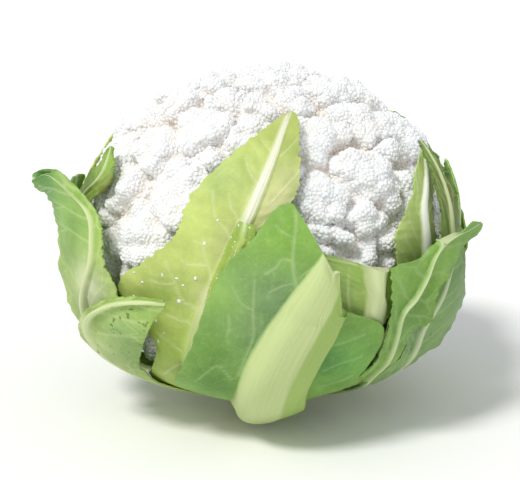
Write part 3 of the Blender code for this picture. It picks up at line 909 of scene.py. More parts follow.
LEAVES = (
    Leaf("front_inner_leaf", 0, (-34, 20), 7.8, YELLOW, (
        Station((-51, -54), (-32, -58), (-16, -55), 1.0, (13, 13, 7)),
        Station((-51, -44), (-28, -51), (-16, -47), 1.0, (11.5, 12, 7)),
        Station((-35.5, -26), (-25.5, -38), (-16, -26), 1.5, (1, 5, 2)),
        Station((-46, -10), (-19.5, -19.5), (-7, -12), 2.2),
        Station((-34, 0.5), (-12, -3.5), (-1, 4), 2.0),
        Station((-25.5, 8), (-7, 8), (5.5, 15), 1.8),
        Station((-22, 19.5), (-3, 17.5), (10, 22), 1.4),
        Station((-9, 34), (2, 29), (12, 34), 1.0),
        Station((1, 42), (7, 40), (14, 44), 0.6),
        Station((10, 47), (11, 47.5), (12, 47.5), 0.2),
    ), Slot.YELLOW_LEAF, spacing=0.72, pairs=0, teeth=1.0, ruffle=0.5, rib_edge=0.8, rib_from=0.5,
        vein_strength=0.5, veins=(
        Vein(0.75, ((-17, 7.5), (-16.5, 4), (-15.5, 1), (-14.5, -3), (-14, -9))),
        Vein(0.6, ((-23, 1.5), (-21, 0.5), (-16, 0.5))),
        Vein(0.5, ((-19.5, 7), (-17, 6))),
        Vein(0.8, (
            (-28, 0.5), (-26, -3.5), (-25, -5.5), (-23.5, -9.5), (-20.5, -11.5), (-17.5, -12), (-14, -13.5),
        )),
        Vein(0.6, ((-33, -5.5), (-29, -6), (-25.5, -5.5))),
        Vein(0.9, ((-32.5, -14), (-29.5, -15), (-26, -16), (-20.5, -17), (-16.5, -20))),
        Vein(0.7, ((-33.5, -21.5), (-30, -23.5), (-26, -26), (-22.5, -30))),
        Vein(0.8, ((-37.5, -37.5), (-29, -32), (-24.5, -32))),
        Vein(0.6, ((-6.5, 30.5), (-5, 26.5), (-3, 23.5), (-1, 19.5))),
        Vein(0.7, ((-10.5, 20), (-9.5, 16), (-8, 14), (-7, 10))),
        Vein(0.6, ((-15.5, 21), (-14, 14), (-10.5, 10), (-9, 6.5))),
        Vein(0.5, ((-2, 37), (1, 33.5), (3, 30))),
        Vein(0.5, ((12, 37), (8.5, 34), (5, 31))),
        Vein(0.6, ((11.5, 27), (7, 23), (2, 18))),
        Vein(0.6, ((9, 19), (4, 15), (-2, 11))),
    ), patches=(
        Patch(4, 15, 7, CREAM_GREEN, 0.95), Patch(7, 24, 6, paint(222, 222, 160), 0.8),
        Patch(-8, 5, 6, CREAM_GREEN, 0.6), Patch(-27, -27, 12, paint(186, 213, 86), 0.9),
        Patch(-15, -8, 4, paint(232, 226, 188), 0.5),
        Patch(-14, 26, 8, paint(190, 212, 112), 0.6), Patch(6, 42, 6, paint(196, 208, 116), 0.8),
    ), drops=Drops((Spot(-29, -12, 14), Spot(-16, 12, 9, 0.7))), seed=11),
    Leaf("front_small_leaf", 1, (-16, 13), 5, LIME, (
        Station((-18.5, -23), (-13.5, -22), (-8, -21.5), 1.0, (0.5, 0.2, 0)),
        Station((-15, -6), (-10.5, -6.5), (-5, -5), 1.2),
        Station((-11.5, 3), (-8, 2.5), (-3.5, 3.5), 0.8),
        Station((-9, 9), (-6, 8.5), (-2.5, 8.5), 0.5),
        Station((-7, 13), (-5.5, 12.5), (-3, 12), 0.2),
    ), spacing=0.6, pairs=0, teeth=0.25, ruffle=0.1, rib_edge=0.9, rib_from=0.9, patches=(
        Patch(-9, 4, 10, paint(186, 210, 92), 0.9),
    ), drops=Drops((Spot(-8, 4, 12),), 0.00042, 0.0016, 0.4), seed=12),
    Leaf("front_outer_leaf", 2, (-4, 22), 15.5, BROAD, (
        Station((-10, -46), (-5, -56), (11, -51), 8.0, (0, 3, 0)),
        Station((-17, -35.5), (-3, -50.5), (15, -47), 9.0, (0, 2, 0)),
        Station((-31, -37.5), (-1, -45.5), (24, -42), 9.5, (0, 1, 0)),
        Station((-21, -22.5), (2, -28.5), (30, -38.5), 9.5),
        Station((-15.5, -10), (6, -18), (30, -31), 8.5),
        Station((-12.5, -3), (9.5, -11.5), (31.5, -16.5), 7.5, (0, 0, 1.5)),
        Station((-9, 3), (11, -8.5), (22.5, -11), 7.0, (0, 1, 1)),
        Station((-3, 9), (13.5, -4.5), (18.5, -8), 5.5, (0, 2, 2)),
        Station((2.5, 16), (15.5, -1), (17.5, -3), 3.5, (0, 3, 3)),
        Station((7, 17), (16, 1), (17, 1), 1.0, (0, 4, 4)),
    ), spacing=0.62, pairs=0, teeth=0.35, ruffle=0.5, rib_power=3.4, rib_edge=0.1, facet=0.3,
        rib_taper=0.42, rib_skew=1.35, petiole_share=0.8, trimmed=True, vein_strength=0.45, veins=(
        Vein(1.0, ((7.5, 15), (7.5, 12), (6.5, 3), (8, -5), (10, -9.5))),
        Vein(0.8, ((-2.5, -1), (-3, -9.5), (-3, -16), (-5, -22), (-8, -29.5))),
        Vein(0.8, ((6.5, 3.5), (4, 4), (2.5, 2), (0, 0.5))),
        Vein(0.6, ((6.5, -2), (4, -2.5), (1, -4))),
        Vein(0.6, ((8, -0.5), (10.5, 1.5), (12.5, 2.5))),
        Vein(0.55, ((-10, -16.5), (-9, -14), (-9, -10.5))),
        Vein(0.7, ((-21.5, -33), (-14.5, -26.5), (-12, -26.5), (-10, -30.5))),
        Vein(0.5, ((-3, -9), (-6, -7), (-8, -3))),
        Vein(0.5, ((7, 9), (4, 10.5), (2.5, 12))),
        Vein(0.7, ((17, -35), (22, -34), (27, -32))),
        Vein(0.6, ((16, -28), (21, -26), (27, -24))),
        Vein(0.6, ((15, -20), (20, -19), (26, -17))),
    ), patches=(
        Patch(3, -6, 9, GREY_GREEN, 0.9), Patch(-3, -14, 9, GREY_GREEN, 0.9),
        Patch(-6, -3, 6, GREY_GREEN, 0.5),
        Patch(-9, -20, 8, paint(118, 160, 84), 0.7), Patch(5, 10, 6, paint(150, 196, 84), 0.8),
        Patch(-10, -6, 7, paint(152, 192, 92), 0.6), Patch(-16, -34, 9, paint(96, 150, 60), 0.8),
        # painted shadow: the dark green patch at azimuth 17 is the shade that the petiole casts on the right
        # blade
        Patch(23, -26, 10, BRIGHT_GREEN, 0.85), Patch(17, -24, 5, paint(62, 130, 64), 0.7),
        Patch(-14, -20, 5, paint(130, 180, 74), 0.6),
    ), seed=13),
    Leaf("front_trimmed_leaf", 1, (21, 11), 9, LIME, (
        Station((20, -31), (25.5, -32), (30, -33), 2.0),
        Station((20, -20), (29, -21), (33, -21.5), 2.0),
        Station((17, -9), (30, -12), (36, -12.5), 4.2),
        Station((10, 2), (29, -5.5), (34.5, -7.5), 7.0, (0, 0, 2)),
        Station((8.5, 6.5), (28.5, -0.5), (34, -1.5), 7.0, (0, 0, 2)),
    ), spacing=0.72, pairs=0, teeth=0.3, ruffle=0.3, rib_power=3.4, rib_edge=0.15, rib_gain=5.5,
        trimmed=True, veins=(
        Vein(0.8, ((11, 4.5), (15, 3.2), (19, 2), (24, 0.5))),
        Vein(0.7, ((21.5, 0), (21.5, -7), (22.5, -13))),
    ), patches=(
        Patch(15, -3, 8, paint(160, 192, 104), 0.8), Patch(21, -9, 6, paint(178, 202, 118), 0.6),
    ), seed=14),
    Leaf("right_pointed_leaf", 1, (43, 8), 2.6, FRESH, (
        Station((35, -46), (41, -46), (45, -47), 2.4, (4, 4, 4)),
        Station((32, -36), (37, -35), (41, -36), 2.4, (3, 3, 3)),
        Station((32.5, -24), (36, -24), (40, -27), 2.4, (5, 6, 6.5)),
        Station((31.5, -14.5), (34.5, -12.5), (39.5, -17.5), 2.2, (8.6, 8.6, 9)),
        Station((31, -6), (38, -8.5), (44.5, -15.5), 2.2, (8.6, 8.6, 11)),
        Station((31, 0), (41, -4.5), (45, -8), 2.0, (8.6, 8.6, 11)),
        Station((41, 1), (44.5, 1.5), (50, -5), 1.6, (8.6, 9, 10)),
        Station((49.5, 3.5), (52, 4), (55.5, 0.5), 1.0, (9, 9, 9)),
        Station((62.5, 5.5), (68, 4), (67.5, 2), 0.3, (9, 9, 9)),
    ), spacing=0.72, pairs=6, slant=0.14, teeth=0.5, ruffle=0.6, vein_strength=0.3, rib_edge=0.8, patches=(
        Patch(44, -10, 7, paint(138, 182, 72), 0.8), Patch(60, 3, 8, paint(126, 174, 78), 0.7),
        Patch(36, -14, 7, paint(112, 158, 78), 0.7),
    ), seed=15),
    Leaf("right_outer_leaf", 2, (57, 13), 5, BLUISH, (
        Station((37, -45), (53, -44), (64, -42), 4.0),
        Station((38, -36), (51, -34), (68, -36), 3.4),
        Station((42, -24.5), (47.5, -26), (70, -30), 2.4, (0, 0, 1)),
        Station((35, -15), (47, -19.5), (71.5, -24), 2.0, (0, 0, 1)),
        Station((36.5, -7.5), (52, -12), (71, -17), 1.8),
        Station((44.5, -1.5), (55, -4.5), (66.5, -9), 1.2),
        Station((53, 2), (58, 1), (62, -0.5), 0.4),
    ), spacing=0.72, pairs=6, slant=0.3, teeth=0.8, ruffle=1.1, vein_strength=0.35,
        rib_edge=0.8, petiole_share=0.1, patches=(
        Patch(60, -12, 8, paint(122, 164, 84), 0.6), Patch(50, -28, 9, paint(158, 190, 110), 0.7),
        # painted sheen: the blue-grey patch at azimuth 70 is the waxy bloom's own tone brightened where it
        # catches the light
        Patch(70, -14, 6, paint(150, 182, 140), 0.7), Patch(42, -22, 6, paint(138, 168, 120), 0.7),
    ), soiled=(Spot(50, -22, 8, 0.7),), seed=16),
    Leaf("right_inner_leaf", 0, (49, 16), 5.5, PALE_RIBBED, (
        Station((38, -32), (52, -35), (68, -36), 2.2),
        Station((39, -13), (54, -17), (67, -19), 2.2),
        Station((38.5, -2), (51, -3), (61, -6), 2.0),
        Station((38, 5.5), (50.5, 7), (56, 3), 1.8),
        Station((42.5, 11), (51.5, 12.5), (56, 10), 1.6),
        Station((49, 17), (56, 18), (59.5, 15.5), 1.2),
        Station((54, 22.5), (61, 23.5), (63, 21.5), 0.8),
        Station((63.5, 27), (65, 27), (66, 26.5), 0.3),
    ), Slot.YELLOW_LEAF, spacing=0.8, pairs=6, slant=0.34, teeth=0.6, ruffle=0.4, vein_strength=0.4, patches=(
        Patch(44, 4, 8, paint(194, 216, 122), 0.8), Patch(47, 14, 8, paint(184, 208, 112), 0.7),
        Patch(56, 14, 4, paint(196, 206, 172), 0.7),
    ), seed=17),
    Leaf("right_rear_leaf", 1, (66, 13), 3.6, OLIVE, (
        Station((50, -32), (62, -34), (74, -34), 2.6),
        Station((50, -12), (60.5, -14), (72, -17), 2.0),
        Station((53.5, 2), (60, 0), (68.5, -2), 1.6),
        Station((55.5, 14), (60.5, 11.5), (67.5, 6.5), 1.2),
        Station((56.5, 21.5), (60.5, 19.5), (64.5, 16), 0.8),
        Station((57.5, 27), (60, 26), (62.5, 24), 0.5),
        Station((58.5, 29.5), (59.5, 29.3), (60.5, 28.8), 0.2),
    ), spacing=0.9, pairs=7, patches=(
        Patch(63, 14, 7, paint(122, 132, 58), 0.8), Patch(56, 28, 6, paint(110, 150, 66), 0.8),
    ), seed=18),
    Leaf("left_curled_leaf", 1, (-60, 15), 4.6, LIME, (
        Station((-78, -42), (-62, -44), (-53, -42), 3.4),
        Station((-80, -28), (-63, -29), (-48, -25), 3.4, (4, 1, 0)),
        Station((-80, -19), (-61, -18), (-43, -12), 3.0, (4, 1, 0)),
        Station((-82, -9), (-53, -4.5), (-47.5, -3), 2.4, (2, 0, 0)),
        Station((-83, -1), (-52, 3), (-48, 4), 2.0, (2, 0, 0)),
        Station((-84, 5), (-54, 9), (-51, 9), 1.6, (4, 1, 0)),
        Station((-85, 8), (-62, 13), (-57, 12.5), 1.0, (9, 4, 2)),
        Station((-86, 9), (-75, 15), (-70, 15.5), 0.6, (13, 10, 7)),
        Station((-88, 9.5), (-86, 11), (-84, 12.5), 0.2, (15, 15, 14)),
    ), spacing=0.72, pairs=6, slant=0.1, teeth=0.6, ruffle=0.9, vein_strength=0.35, rib_edge=0.9, patches=(
        Patch(-68, 6, 16, paint(150, 194, 94), 0.95), Patch(-80, 12, 9, paint(84, 152, 70), 0.85),
        Patch(-66, -6, 8, paint(152, 190, 92), 0.7), Patch(-58, -18, 9, paint(216, 222, 176), 0.8),
        Patch(-55, -11, 7, paint(228, 230, 196), 0.85),
    ), seed=19),
    Leaf("left_folded_leaf", 2, (-44, 15), 3.6, LIME, (
        Station((-57, -44), (-50, -46), (-42, -45), 4.0),
        Station((-64, -29), (-55, -29), (-39.5, -31), 3.6, (3, 3, 1)),
        Station((-60, -20.5), (-52.5, -18.5), (-35.5, -24), 3.4, (3, 3, 1)),
        Station((-47, -12), (-44.5, -13), (-32, -18.5), 3.0, (2, 2, 1)),
        Station((-35, -8.5), (-34.5, -10), (-29.5, -14.5), 2.2),
        Station((-26, -8), (-25.5, -9), (-26, -10.5), 0.8),
    ), spacing=0.72, pairs=4, slant=0.2, teeth=0.5, ruffle=0.6, vein_strength=0.3,
        petiole_share=0.1, patches=(
        Patch(-40, -19, 9, paint(158, 190, 116), 0.85), Patch(-36, -28, 8, paint(134, 170, 104), 0.8),
        Patch(-52, -32, 8, paint(196, 210, 146), 0.7), Patch(-58, -21, 6, paint(214, 222, 172), 0.7),
        Patch(-48, -26, 5, paint(176, 196, 138), 0.6),
    ), soiled=(Spot(-38, -17, 7), Spot(-48, -28, 9, 0.8)), seed=20),
    Leaf("left_inner_leaf", 0, (-78, 13), 3, OLIVE, (
        Station((-88, -30), (-77, -31), (-67, -30), 2.2),
        Station((-82, -8), (-73, -9), (-65, -8), 2.0),
        Station((-76, 7), (-68, 9), (-61, 10), 1.6),
        Station((-69, 17), (-60, 18), (-53, 19), 1.0),
        Station((-65, 23), (-60, 24), (-56.5, 24.5), 0.6),
        Station((-64, 27.5), (-63, 28), (-61.5, 28), 0.2),
    ), Slot.YELLOW_LEAF, spacing=0.9, pairs=5, vein_strength=0.3, rib_edge=0.9, patches=(
        Patch(-60, 22, 7, paint(158, 196, 84), 0.9), Patch(-54, 15, 5, paint(140, 142, 62), 0.8),
    ), seed=21),
    Leaf("left_outer_leaf", 1, (-98, 15), 8, BLUISH, (
        Station((-118, -38), (-100, -40), (-87, -38), 4.0),
        Station((-122, -22), (-102, -24), (-87.5, -24), 3.0),
        Station((-121, -8), (-103, -9), (-87.5, -10), 2.0),
        Station((-117, 2), (-104, 2), (-91, 0), 1.2),
        Station((-110, 8), (-104, 9), (-98, 8), 0.4),
    ), seed=22),
    Leaf("right_side_leaf", 0, (93, 16), 7, FRESH, (
        Station((74, -36), (92, -38), (110, -36), 2.2),
        Station((72, -18), (92, -19), (113, -17), 2.2),
        Station((74, -4), (93, -4), (111, -2), 1.8),
        Station((80, 6), (94, 7), (107, 8), 1.2),
        Station((88, 12), (95, 13), (102, 13), 0.6),
        Station((93, 16.5), (95, 17), (97, 16.5), 0.2),
    ), teeth=1.0, seed=23),
    Leaf("right_low_leaf", 1, (99, 17), 8, LIME, (
        Station((84, -36), (101, -38), (118, -36), 4.0),
        Station((82, -21), (102, -23), (121, -21), 2.8),
        Station((87, -9), (102, -9), (116, -10), 1.4),
        Station((96, -1), (102, 0), (108, -1), 0.4),
    ), pairs=5, seed=24),
    Leaf("back_right_leaf", 2, (132, 18), 9, BLUISH, (
        Station((112, -38), (132, -42), (152, -38), 4.4),
        Station((111, -22), (132, -26), (156, -22), 3.4),
        Station((112, -6), (133, -9), (157, -5), 2.4),
        Station((116, 7), (134, 5), (153, 9), 1.6),
        Station((123, 16), (135, 16), (147, 17), 0.9),
        Station((132, 23), (135, 23.5), (138, 23), 0.3),
    ), spacing=0.95, pairs=8, teeth=1.0, ruffle=1.8, seed=25),
    Leaf("back_inner_leaf", 0, (146, 17), 7, YELLOW, (
        Station((128, -32), (146, -34), (165, -32), 3.0),
        Station((125, -12), (146, -14), (170, -12), 2.2),
        Station((127, 6), (147, 5), (169, 7), 1.8),
        Station((132, 21), (148, 20), (165, 22), 1.4),
        Station((139, 33), (150, 33), (161, 34), 0.8),
        Station((149, 41), (151.5, 41.5), (154, 41), 0.3),
    ), Slot.YELLOW_LEAF, pairs=8, teeth=1.1, seed=26),
    Leaf("back_leaf", 1, (181, 16), 8, LIME, (
        Station((162, -36), (181, -39), (200, -36), 3.6),
        Station((158, -18), (181, -21), (203, -18), 2.6),
        Station((159, -2), (181, -4), (202, -1), 2.0),
        Station((163, 12), (180, 11), (197, 13), 1.5),
        Station((170, 23), (179, 23), (189, 24), 0.9),
        Station((176, 30), (178.5, 31), (181, 30), 0.3),
    ), spacing=0.95, pairs=8, teeth=0.9, ruffle=1.2, seed=27),
    Leaf("back_left_leaf", 2, (-144, 18), 9, FRESH, (
        Station((-164, -38), (-144, -42), (-124, -38), 4.4),
        Station((-168, -22), (-144, -26), (-122, -22), 3.4),
        Station((-169, -6), (-144, -9), (-122, -6), 2.4),
        Station((-164, 8), (-144, 6), (-126, 7), 1.6),
        Station((-156, 17), (-144, 17), (-133, 16), 0.9),
        Station((-147, 23), (-144, 24), (-141, 23), 0.3),
    ), spacing=0.95, pairs=8, teeth=1.0, ruffle=1.8, seed=28),
    Leaf("left_side_leaf", 0, (-122, 16), 7, YELLOW, (
        Station((-142, -32), (-122, -34), (-104, -32), 3.0),
        Station((-146, -14), (-122, -16), (-100, -14), 2.2),
        Station((-145, -1), (-121, -2), (-100, -3), 1.8),
        Station((-140, 10), (-122, 9), (-104, 6), 1.4),
        Station((-132, 18), (-122, 18), (-112, 15), 0.8),
        Station((-125, 23), (-122, 23.5), (-119, 22), 0.3),
    ), Slot.YELLOW_LEAF, pairs=8, teeth=1.1, seed=29),
)


class LeafSheet:
    """The fine mesh of one leaf, bent over its layer of the head."""

    EDGE_THICKNESS = 0.75  # of the blade at its edge, in millimetres
    BLADE = 1.05  # of the blade between its veins
    ROOTED = 3.0  # how far the petiole runs on into the stalk
    WAVE, DENT, TOOTH, STREAK = 34.0, 21.0, 6.4, 6.0  # lengths of the surface's waves, in millimetres
    VEIN_HEIGHT = 0.42
    SWELL_HEIGHT = 0.3  # of the blade between its veins
    DENT_HEIGHT = 0.22
    STREAK_HEIGHT = 0.1  # of the midrib's streaks

    def __init__(self, leaf: Leaf) -> None:
        """Lays out the leaf's grid and the lines that it is bent over."""
        self.leaf = leaf
        azimuth, half = leaf.foot
        low = foot_elevation(leaf.layer)
        rise = PETIOLE_THICKNESS - BLADE_THICKNESS
        foot = Station((azimuth - half, low), (azimuth, low), (azimuth + half, low), rise)
        stations = (foot, *leaf.stations)
        self.lines = [
            directions(*np.array([getattr(s, side) for s in stations]).T) for side in ("left", "rib", "right")
        ]
        self.lifts = np.array([s.lift for s in stations])
        self.rib_heights = np.array([s.rib_height for s in stations])
        rib = self.places(np.linspace(0, 1, 60), np.zeros(60))
        self.length = float(np.linalg.norm(np.diff(rib, axis=0), axis=1).sum())
        wide = [
            float(np.linalg.norm(self.places(t, -np.ones(1)) - self.places(t, np.ones(1))))
            for t in np.linspace(0.1, 0.9, 9)[:, None]
        ]
        self.width = max(wide) * 1.15
        self.rows = max(24, round(self.length / leaf.spacing))
        self.columns = max(16, round(self.width / leaf.spacing / 2) * 2) + 1
        share = np.linspace(-1, 1, self.columns)
        across = np.sign(share) * np.abs(share) ** 1.12
        self.along, self.across = np.meshgrid(np.linspace(0, 1, self.rows), across, indexing="ij")

    def pointing(self, along: np.ndarray, across: np.ndarray) -> np.ndarray:
        """Directions from the head's centre to places on the leaf."""
        rib = unit(curve_through(self.lines[1], along))
        left = unit(curve_through(self.lines[0], along))
        right = unit(curve_through(self.lines[2], along))
        edge = np.where((across < 0)[..., None], left, right)
        angle = np.arccos((rib * edge).sum(-1).clip(-1, 1))[..., None]
        share = np.abs(across)[..., None]
        sine = np.maximum(np.sin(angle), 1e-6)
        turned = (np.sin((1 - share) * angle) * rib + np.sin(share * angle) * edge) / sine
        return unit(np.where(angle < 1e-4, rib, turned))

    def places(self, along: np.ndarray, across: np.ndarray) -> np.ndarray:
        """Places on the leaf's inner face, in millimetres.

        Args:
            along: from the foot (0) to the tip (1).
            across: from the left edge (-1) to the right (1).

        Returns:
            The places.
        """
        pointing = self.pointing(along, across)
        lifts = curve_through(self.lifts, along)
        edge = np.where(across < 0, lifts[..., 0], lifts[..., 2])
        lift = lifts[..., 1] + (edge - lifts[..., 1]) * np.abs(across) ** 1.5
        radius = layer_radius(self.leaf.layer, elevations(pointing)) + np.maximum(lift, 0)
        return pointing * radius[..., None] + np.array([0, 0, HEAD_HEIGHT])

    def vein_field(self, pointing: np.ndarray) -> np.ndarray:
        """How strongly each place is on a vein, from 0 to 1."""
        starts, ends, widths = [], [], []
        for path, wide, narrow in self.vein_paths():
            taper = np.linspace(wide, narrow, len(path) - 1)
            starts.extend(path[:-1])
            ends.extend(path[1:])
            widths.extend(taper)
        flat = pointing.reshape(-1, 3)
        nearest = np.full(len(flat), 9.0)
        for start, end, width in zip(starts, ends, widths):
            run = end - start
            share = ((flat - start) @ run / max(float(run @ run), 1e-9)).clip(0, 1)
            away = np.linalg.norm(flat - start - share[:, None] * run, axis=1) * CURD_RADIUS
            nearest = np.minimum(nearest, away / width)
        return nearest.reshape(pointing.shape[:-1])

    def vein_paths(self) -> list[tuple[np.ndarray, float, float]]:
        """Every vein's directions, with its half widths at its start and its end."""
        leaf, chance = self.leaf, np.random.default_rng(self.leaf.seed)
        found = []
        for vein in leaf.veins:
            line = directions(*np.array(vein.path, float).T)
            smooth_line = unit(curve_through(line, np.linspace(0, 1, 4 * len(line))))
            found.append((smooth_line, vein.half_width * 0.45, vein.half_width * 0.75))
        run = np.linspace(0, 0.93, 9)
        for index in range(leaf.pairs):
            for side in (-1, 1):
                start = 0.1 + 0.78 * (index + 0.5 + chance.uniform(-0.22, 0.22) + side * 0.14) / leaf.pairs
                climb = leaf.slant * (1.15 - 0.6 * start) * chance.uniform(0.85, 1.15)
                along = (start + climb * run**1.25).clip(0, 1)
                wobble = 0.008 * np.sin(run * chance.uniform(6, 11) + chance.uniform(0, 6))
                found.append((self.pointing((along + wobble).clip(0, 1), side * run), 0.68, 0.3))
                fork = chance.uniform(0.4, 0.6)
                for turn in (-1, 1):
                    way = np.linspace(0, 1, 5)
                    place = np.interp(fork, run, along) + way * (0.3 * climb + turn * 0.3 / leaf.pairs)
                    reach = fork + (0.84 - fork) * way ** (0.8 if turn > 0 else 1.1)
                    found.append((self.pointing(place.clip(0, 1), side * reach), 0.4, 0.22))
        return found

    def mesh(self) -> bpy.types.Mesh:
        """The closed mesh, with its colours, its masks and its map in millimetres."""
        leaf, along, across = self.leaf, self.along, self.across
        inner = self.places(along, across)
        ahead, aside = np.gradient(inner, axis=0), np.gradient(inner, axis=1)
        normal = unit(np.cross(aside, ahead))
        if (normal * (inner - np.array([0, 0, HEAD_HEIGHT]))).sum() < 0:
            normal = -normal
        aside = unit(aside)
        middle = self.places(along, np.zeros_like(across))
        half = leaf.rib_width * (1 - leaf.rib_taper * along) + leaf.rib_gain * along**4
        half = half * np.where(across > 0, leaf.rib_skew, 1)
        share = np.linalg.norm(inner - middle, axis=-1) / half
        proud = curve_through(self.rib_heights, along) * self.rib_profile(share)
        proud *= 1 - (1 - leaf.petiole_share) * smooth((0.5 - along) / 0.25)
        if not leaf.trimmed:
            proud *= smooth((1 - along) / 0.14)
        room = (inner[..., 2] - GROUND_GAP) / np.maximum(-normal[..., 2], 0.1)
        thick = np.minimum(BLADE_THICKNESS + np.maximum(proud, 0), room)
        thick = np.maximum(thick, BLADE_THICKNESS * 0.5)

        rib = smooth((1.02 - share) / leaf.rib_edge)
        petiole = smooth((0.2 - along) / 0.16)
        nearest = self.vein_field(self.pointing(along, across))
        off_rib = 1 - rib
        vein = np.exp(-(nearest**2)) * off_rib * leaf.vein_strength
        swell = 1 - np.exp(-((nearest * 0.8 / 4) ** 2))
        edge = np.abs(across)
        tip = np.sin(np.pi * along.clip(0, 1)) ** 0.4
        dents = ripple(along * self.length + 9 * across, self.DENT, leaf.seed * 7 + 3)
        streaks = ripple(across * self.width, self.STREAK, leaf.seed * 7 + 6, 2)
        relief = vein * self.VEIN_HEIGHT + swell * off_rib * self.SWELL_HEIGHT * (1 - edge**4)
        relief += self.edge_ripple(self.WAVE, 1) * leaf.ruffle * edge**3 * tip * (1 - petiole)
        relief += dents * self.DENT_HEIGHT * off_rib
        relief += rib * streaks * self.STREAK_HEIGHT
        outer = inner + normal * (thick + relief * (1 - 0.7 * petiole))[..., None]

        inset = (self.edge_ripple(self.TOOTH, 4) - 0.6) * leaf.teeth * edge**7 * tip * (1 - petiole)
        outer += aside * (np.sign(across) * inset)[..., None]
        blade = self.BLADE - (self.BLADE - self.EDGE_THICKNESS) * smooth((edge - 0.8) / 0.2)
        depth = np.minimum(thick, blade + proud * smooth(proud))
        under = outer - normal * depth[..., None]
        for face in (outer, under):
            inward = face[0] * [1, 1, 0]
            face[0] -= unit(inward) * self.ROOTED
            face[..., 2] = np.maximum(face[..., 2], GROUND_GAP * 0.4)

        mesh = mesh_of(leaf.name, np.concatenate([outer, under]).reshape(-1, 3) * MM, self.faces())
        self.dress(mesh, vein, rib, petiole, share * np.sign(across))
        return mesh

    def edge_ripple(self, wave: float, first: int) -> np.ndarray:
        """Noise along the leaf that differs between its left half and its right."""
        place, seed = self.along * self.length, self.leaf.seed * 7 + first
        return np.where(self.across < 0, ripple(place, wave, seed), ripple(place, wave, seed + 1))

    def rib_profile(self, share: np.ndarray) -> np.ndarray:
        """The midrib's height across it, as a share of its full height.

        Args:
            share: distance from its middle, as a share of its half width.

        Returns:
            The heights: a rounded ridge, or a flat face with a second facet falling away on the right.
        """
        facet = self.leaf.facet
        ridge = np.maximum(0, 1 - share**self.leaf.rib_power)
        if facet >= 1:
            return ridge
        fall = np.clip((share - facet) / (1 - facet), 0, 1)
        slope = (1 - 0.42 * fall) * smooth((1.02 - share) / 0.12)
        return np.where(self.across > 0, slope, ridge)

    def faces(self) -> list:
        """The quads of both faces and of the rim that joins them."""
        index = np.arange(self.rows * self.columns).reshape(self.rows, self.columns)
        quads = np.stack([index[:-1, :-1], index[:-1, 1:], index[1:, 1:], index[1:, :-1]], -1).reshape(-1, 4)
        rim = np.concatenate([index[0, :-1], index[:-1, -1], index[-1, :0:-1], index[:0:-1, 0]])
        after = np.roll(rim, -1)
        shift = self.rows * self.columns
        sides = np.stack([rim, rim + shift, after + shift, after], -1)
        return np.concatenate([quads, quads[:, ::-1] + shift, sides]).tolist()

    def dress(
        self,
        mesh: bpy.types.Mesh,
        vein: np.ndarray,
        rib: np.ndarray,
        petiole: np.ndarray,
        across_rib: np.ndarray,
    ) -> None:
        """Stores what the leaf's material reads.

        Args:
            mesh: the leaf's mesh.
            vein: how strongly each place is on a vein.
            rib: how strongly it is on the midrib.
            petiole: how strongly it is on the petiole.
            across_rib: how far it is across the midrib, from -1 at its left side to 1 at its right.
        """
        leaf, along, across = self.leaf, self.along, self.across
        pointing = self.pointing(along, across)
        climb = smooth(along)[..., None]
        colour = np.array(leaf.greens.foot) * (1 - climb) + np.array(leaf.greens.tip) * climb
        for patch in leaf.patches:
            away = apart(pointing, patch.azimuth, patch.elevation)
            amount = (patch.strength * np.exp(-((away / patch.reach) ** 2)))[..., None]
            colour = colour * (1 - amount) + np.array(patch.colour) * amount
        flesh = np.array(leaf.greens.rib)
        pale = (petiole * 0.85)[..., None]
        colour = colour * (1 - pale) + flesh * 0.9 * pale
        sunk = (smooth((leaf.rib_from + 0.12 - along) / 0.24) * (leaf.rib_from > 0) * 0.75)[..., None]
        flesh = flesh * (1 - sunk) + colour * sunk
        # painted shade: the midrib's right facet, turned from the light, is coloured a darker green
        if leaf.facet < 1:
            facet_shade = (smooth((across_rib - leaf.facet) / 0.1) * 0.75)[..., None]
            flesh = flesh * (1 - facet_shade) + FACET_SHADE_GREEN * facet_shade
        end = smooth((along - 0.985) / 0.01) * (rib > 0.5) * leaf.trimmed

        wet = self.within(leaf.drops.spots if leaf.drops else (), pointing)
        soil = self.within(leaf.soiled, pointing)
        both = {
            "blade": (self.rgba(colour), self.rgba(colour * [0.96, 1.0, 0.98])),
            "rib_colour": (self.rgba(flesh + colour * 0),) * 2,
            "vein_colour": (self.rgba(np.array(leaf.greens.vein) + colour * 0),) * 2,
            "vein": (vein, vein * 0.6),
            "rib": (rib, rib * 0.75),
            "cut": (end, end),
            "wet": (wet, wet * 0),
            "soil": (soil, soil * 0),
        }
        for name, (front, back) in both.items():
            shape = (-1, 4) if front.ndim == 3 else (-1,)
            store(mesh, name, np.concatenate([front.reshape(shape), back.reshape(shape)]))
        flat = np.stack([across * self.width / 2, along * self.length], -1).reshape(-1, 2)
        lay_map(mesh, LEAF_MAP, np.concatenate([flat, flat])[corner_points(mesh)])

    @staticmethod
    def within(spots: tuple[Spot, ...], pointing: np.ndarray) -> np.ndarray:
        """The strength of the spot that each place lies in, or 0."""
        found = np.zeros(pointing.shape[:-1])
        for spot in spots:
            inside = apart(pointing, spot.azimuth, spot.elevation) < spot.reach
            found = np.maximum(found, spot.strength * inside)
        return found

    @staticmethod
    def rgba(colour: np.ndarray) -> np.ndarray:
        """Colours with their alpha."""
        return np.concatenate([colour, np.ones((*colour.shape[:-1], 1))], -1)


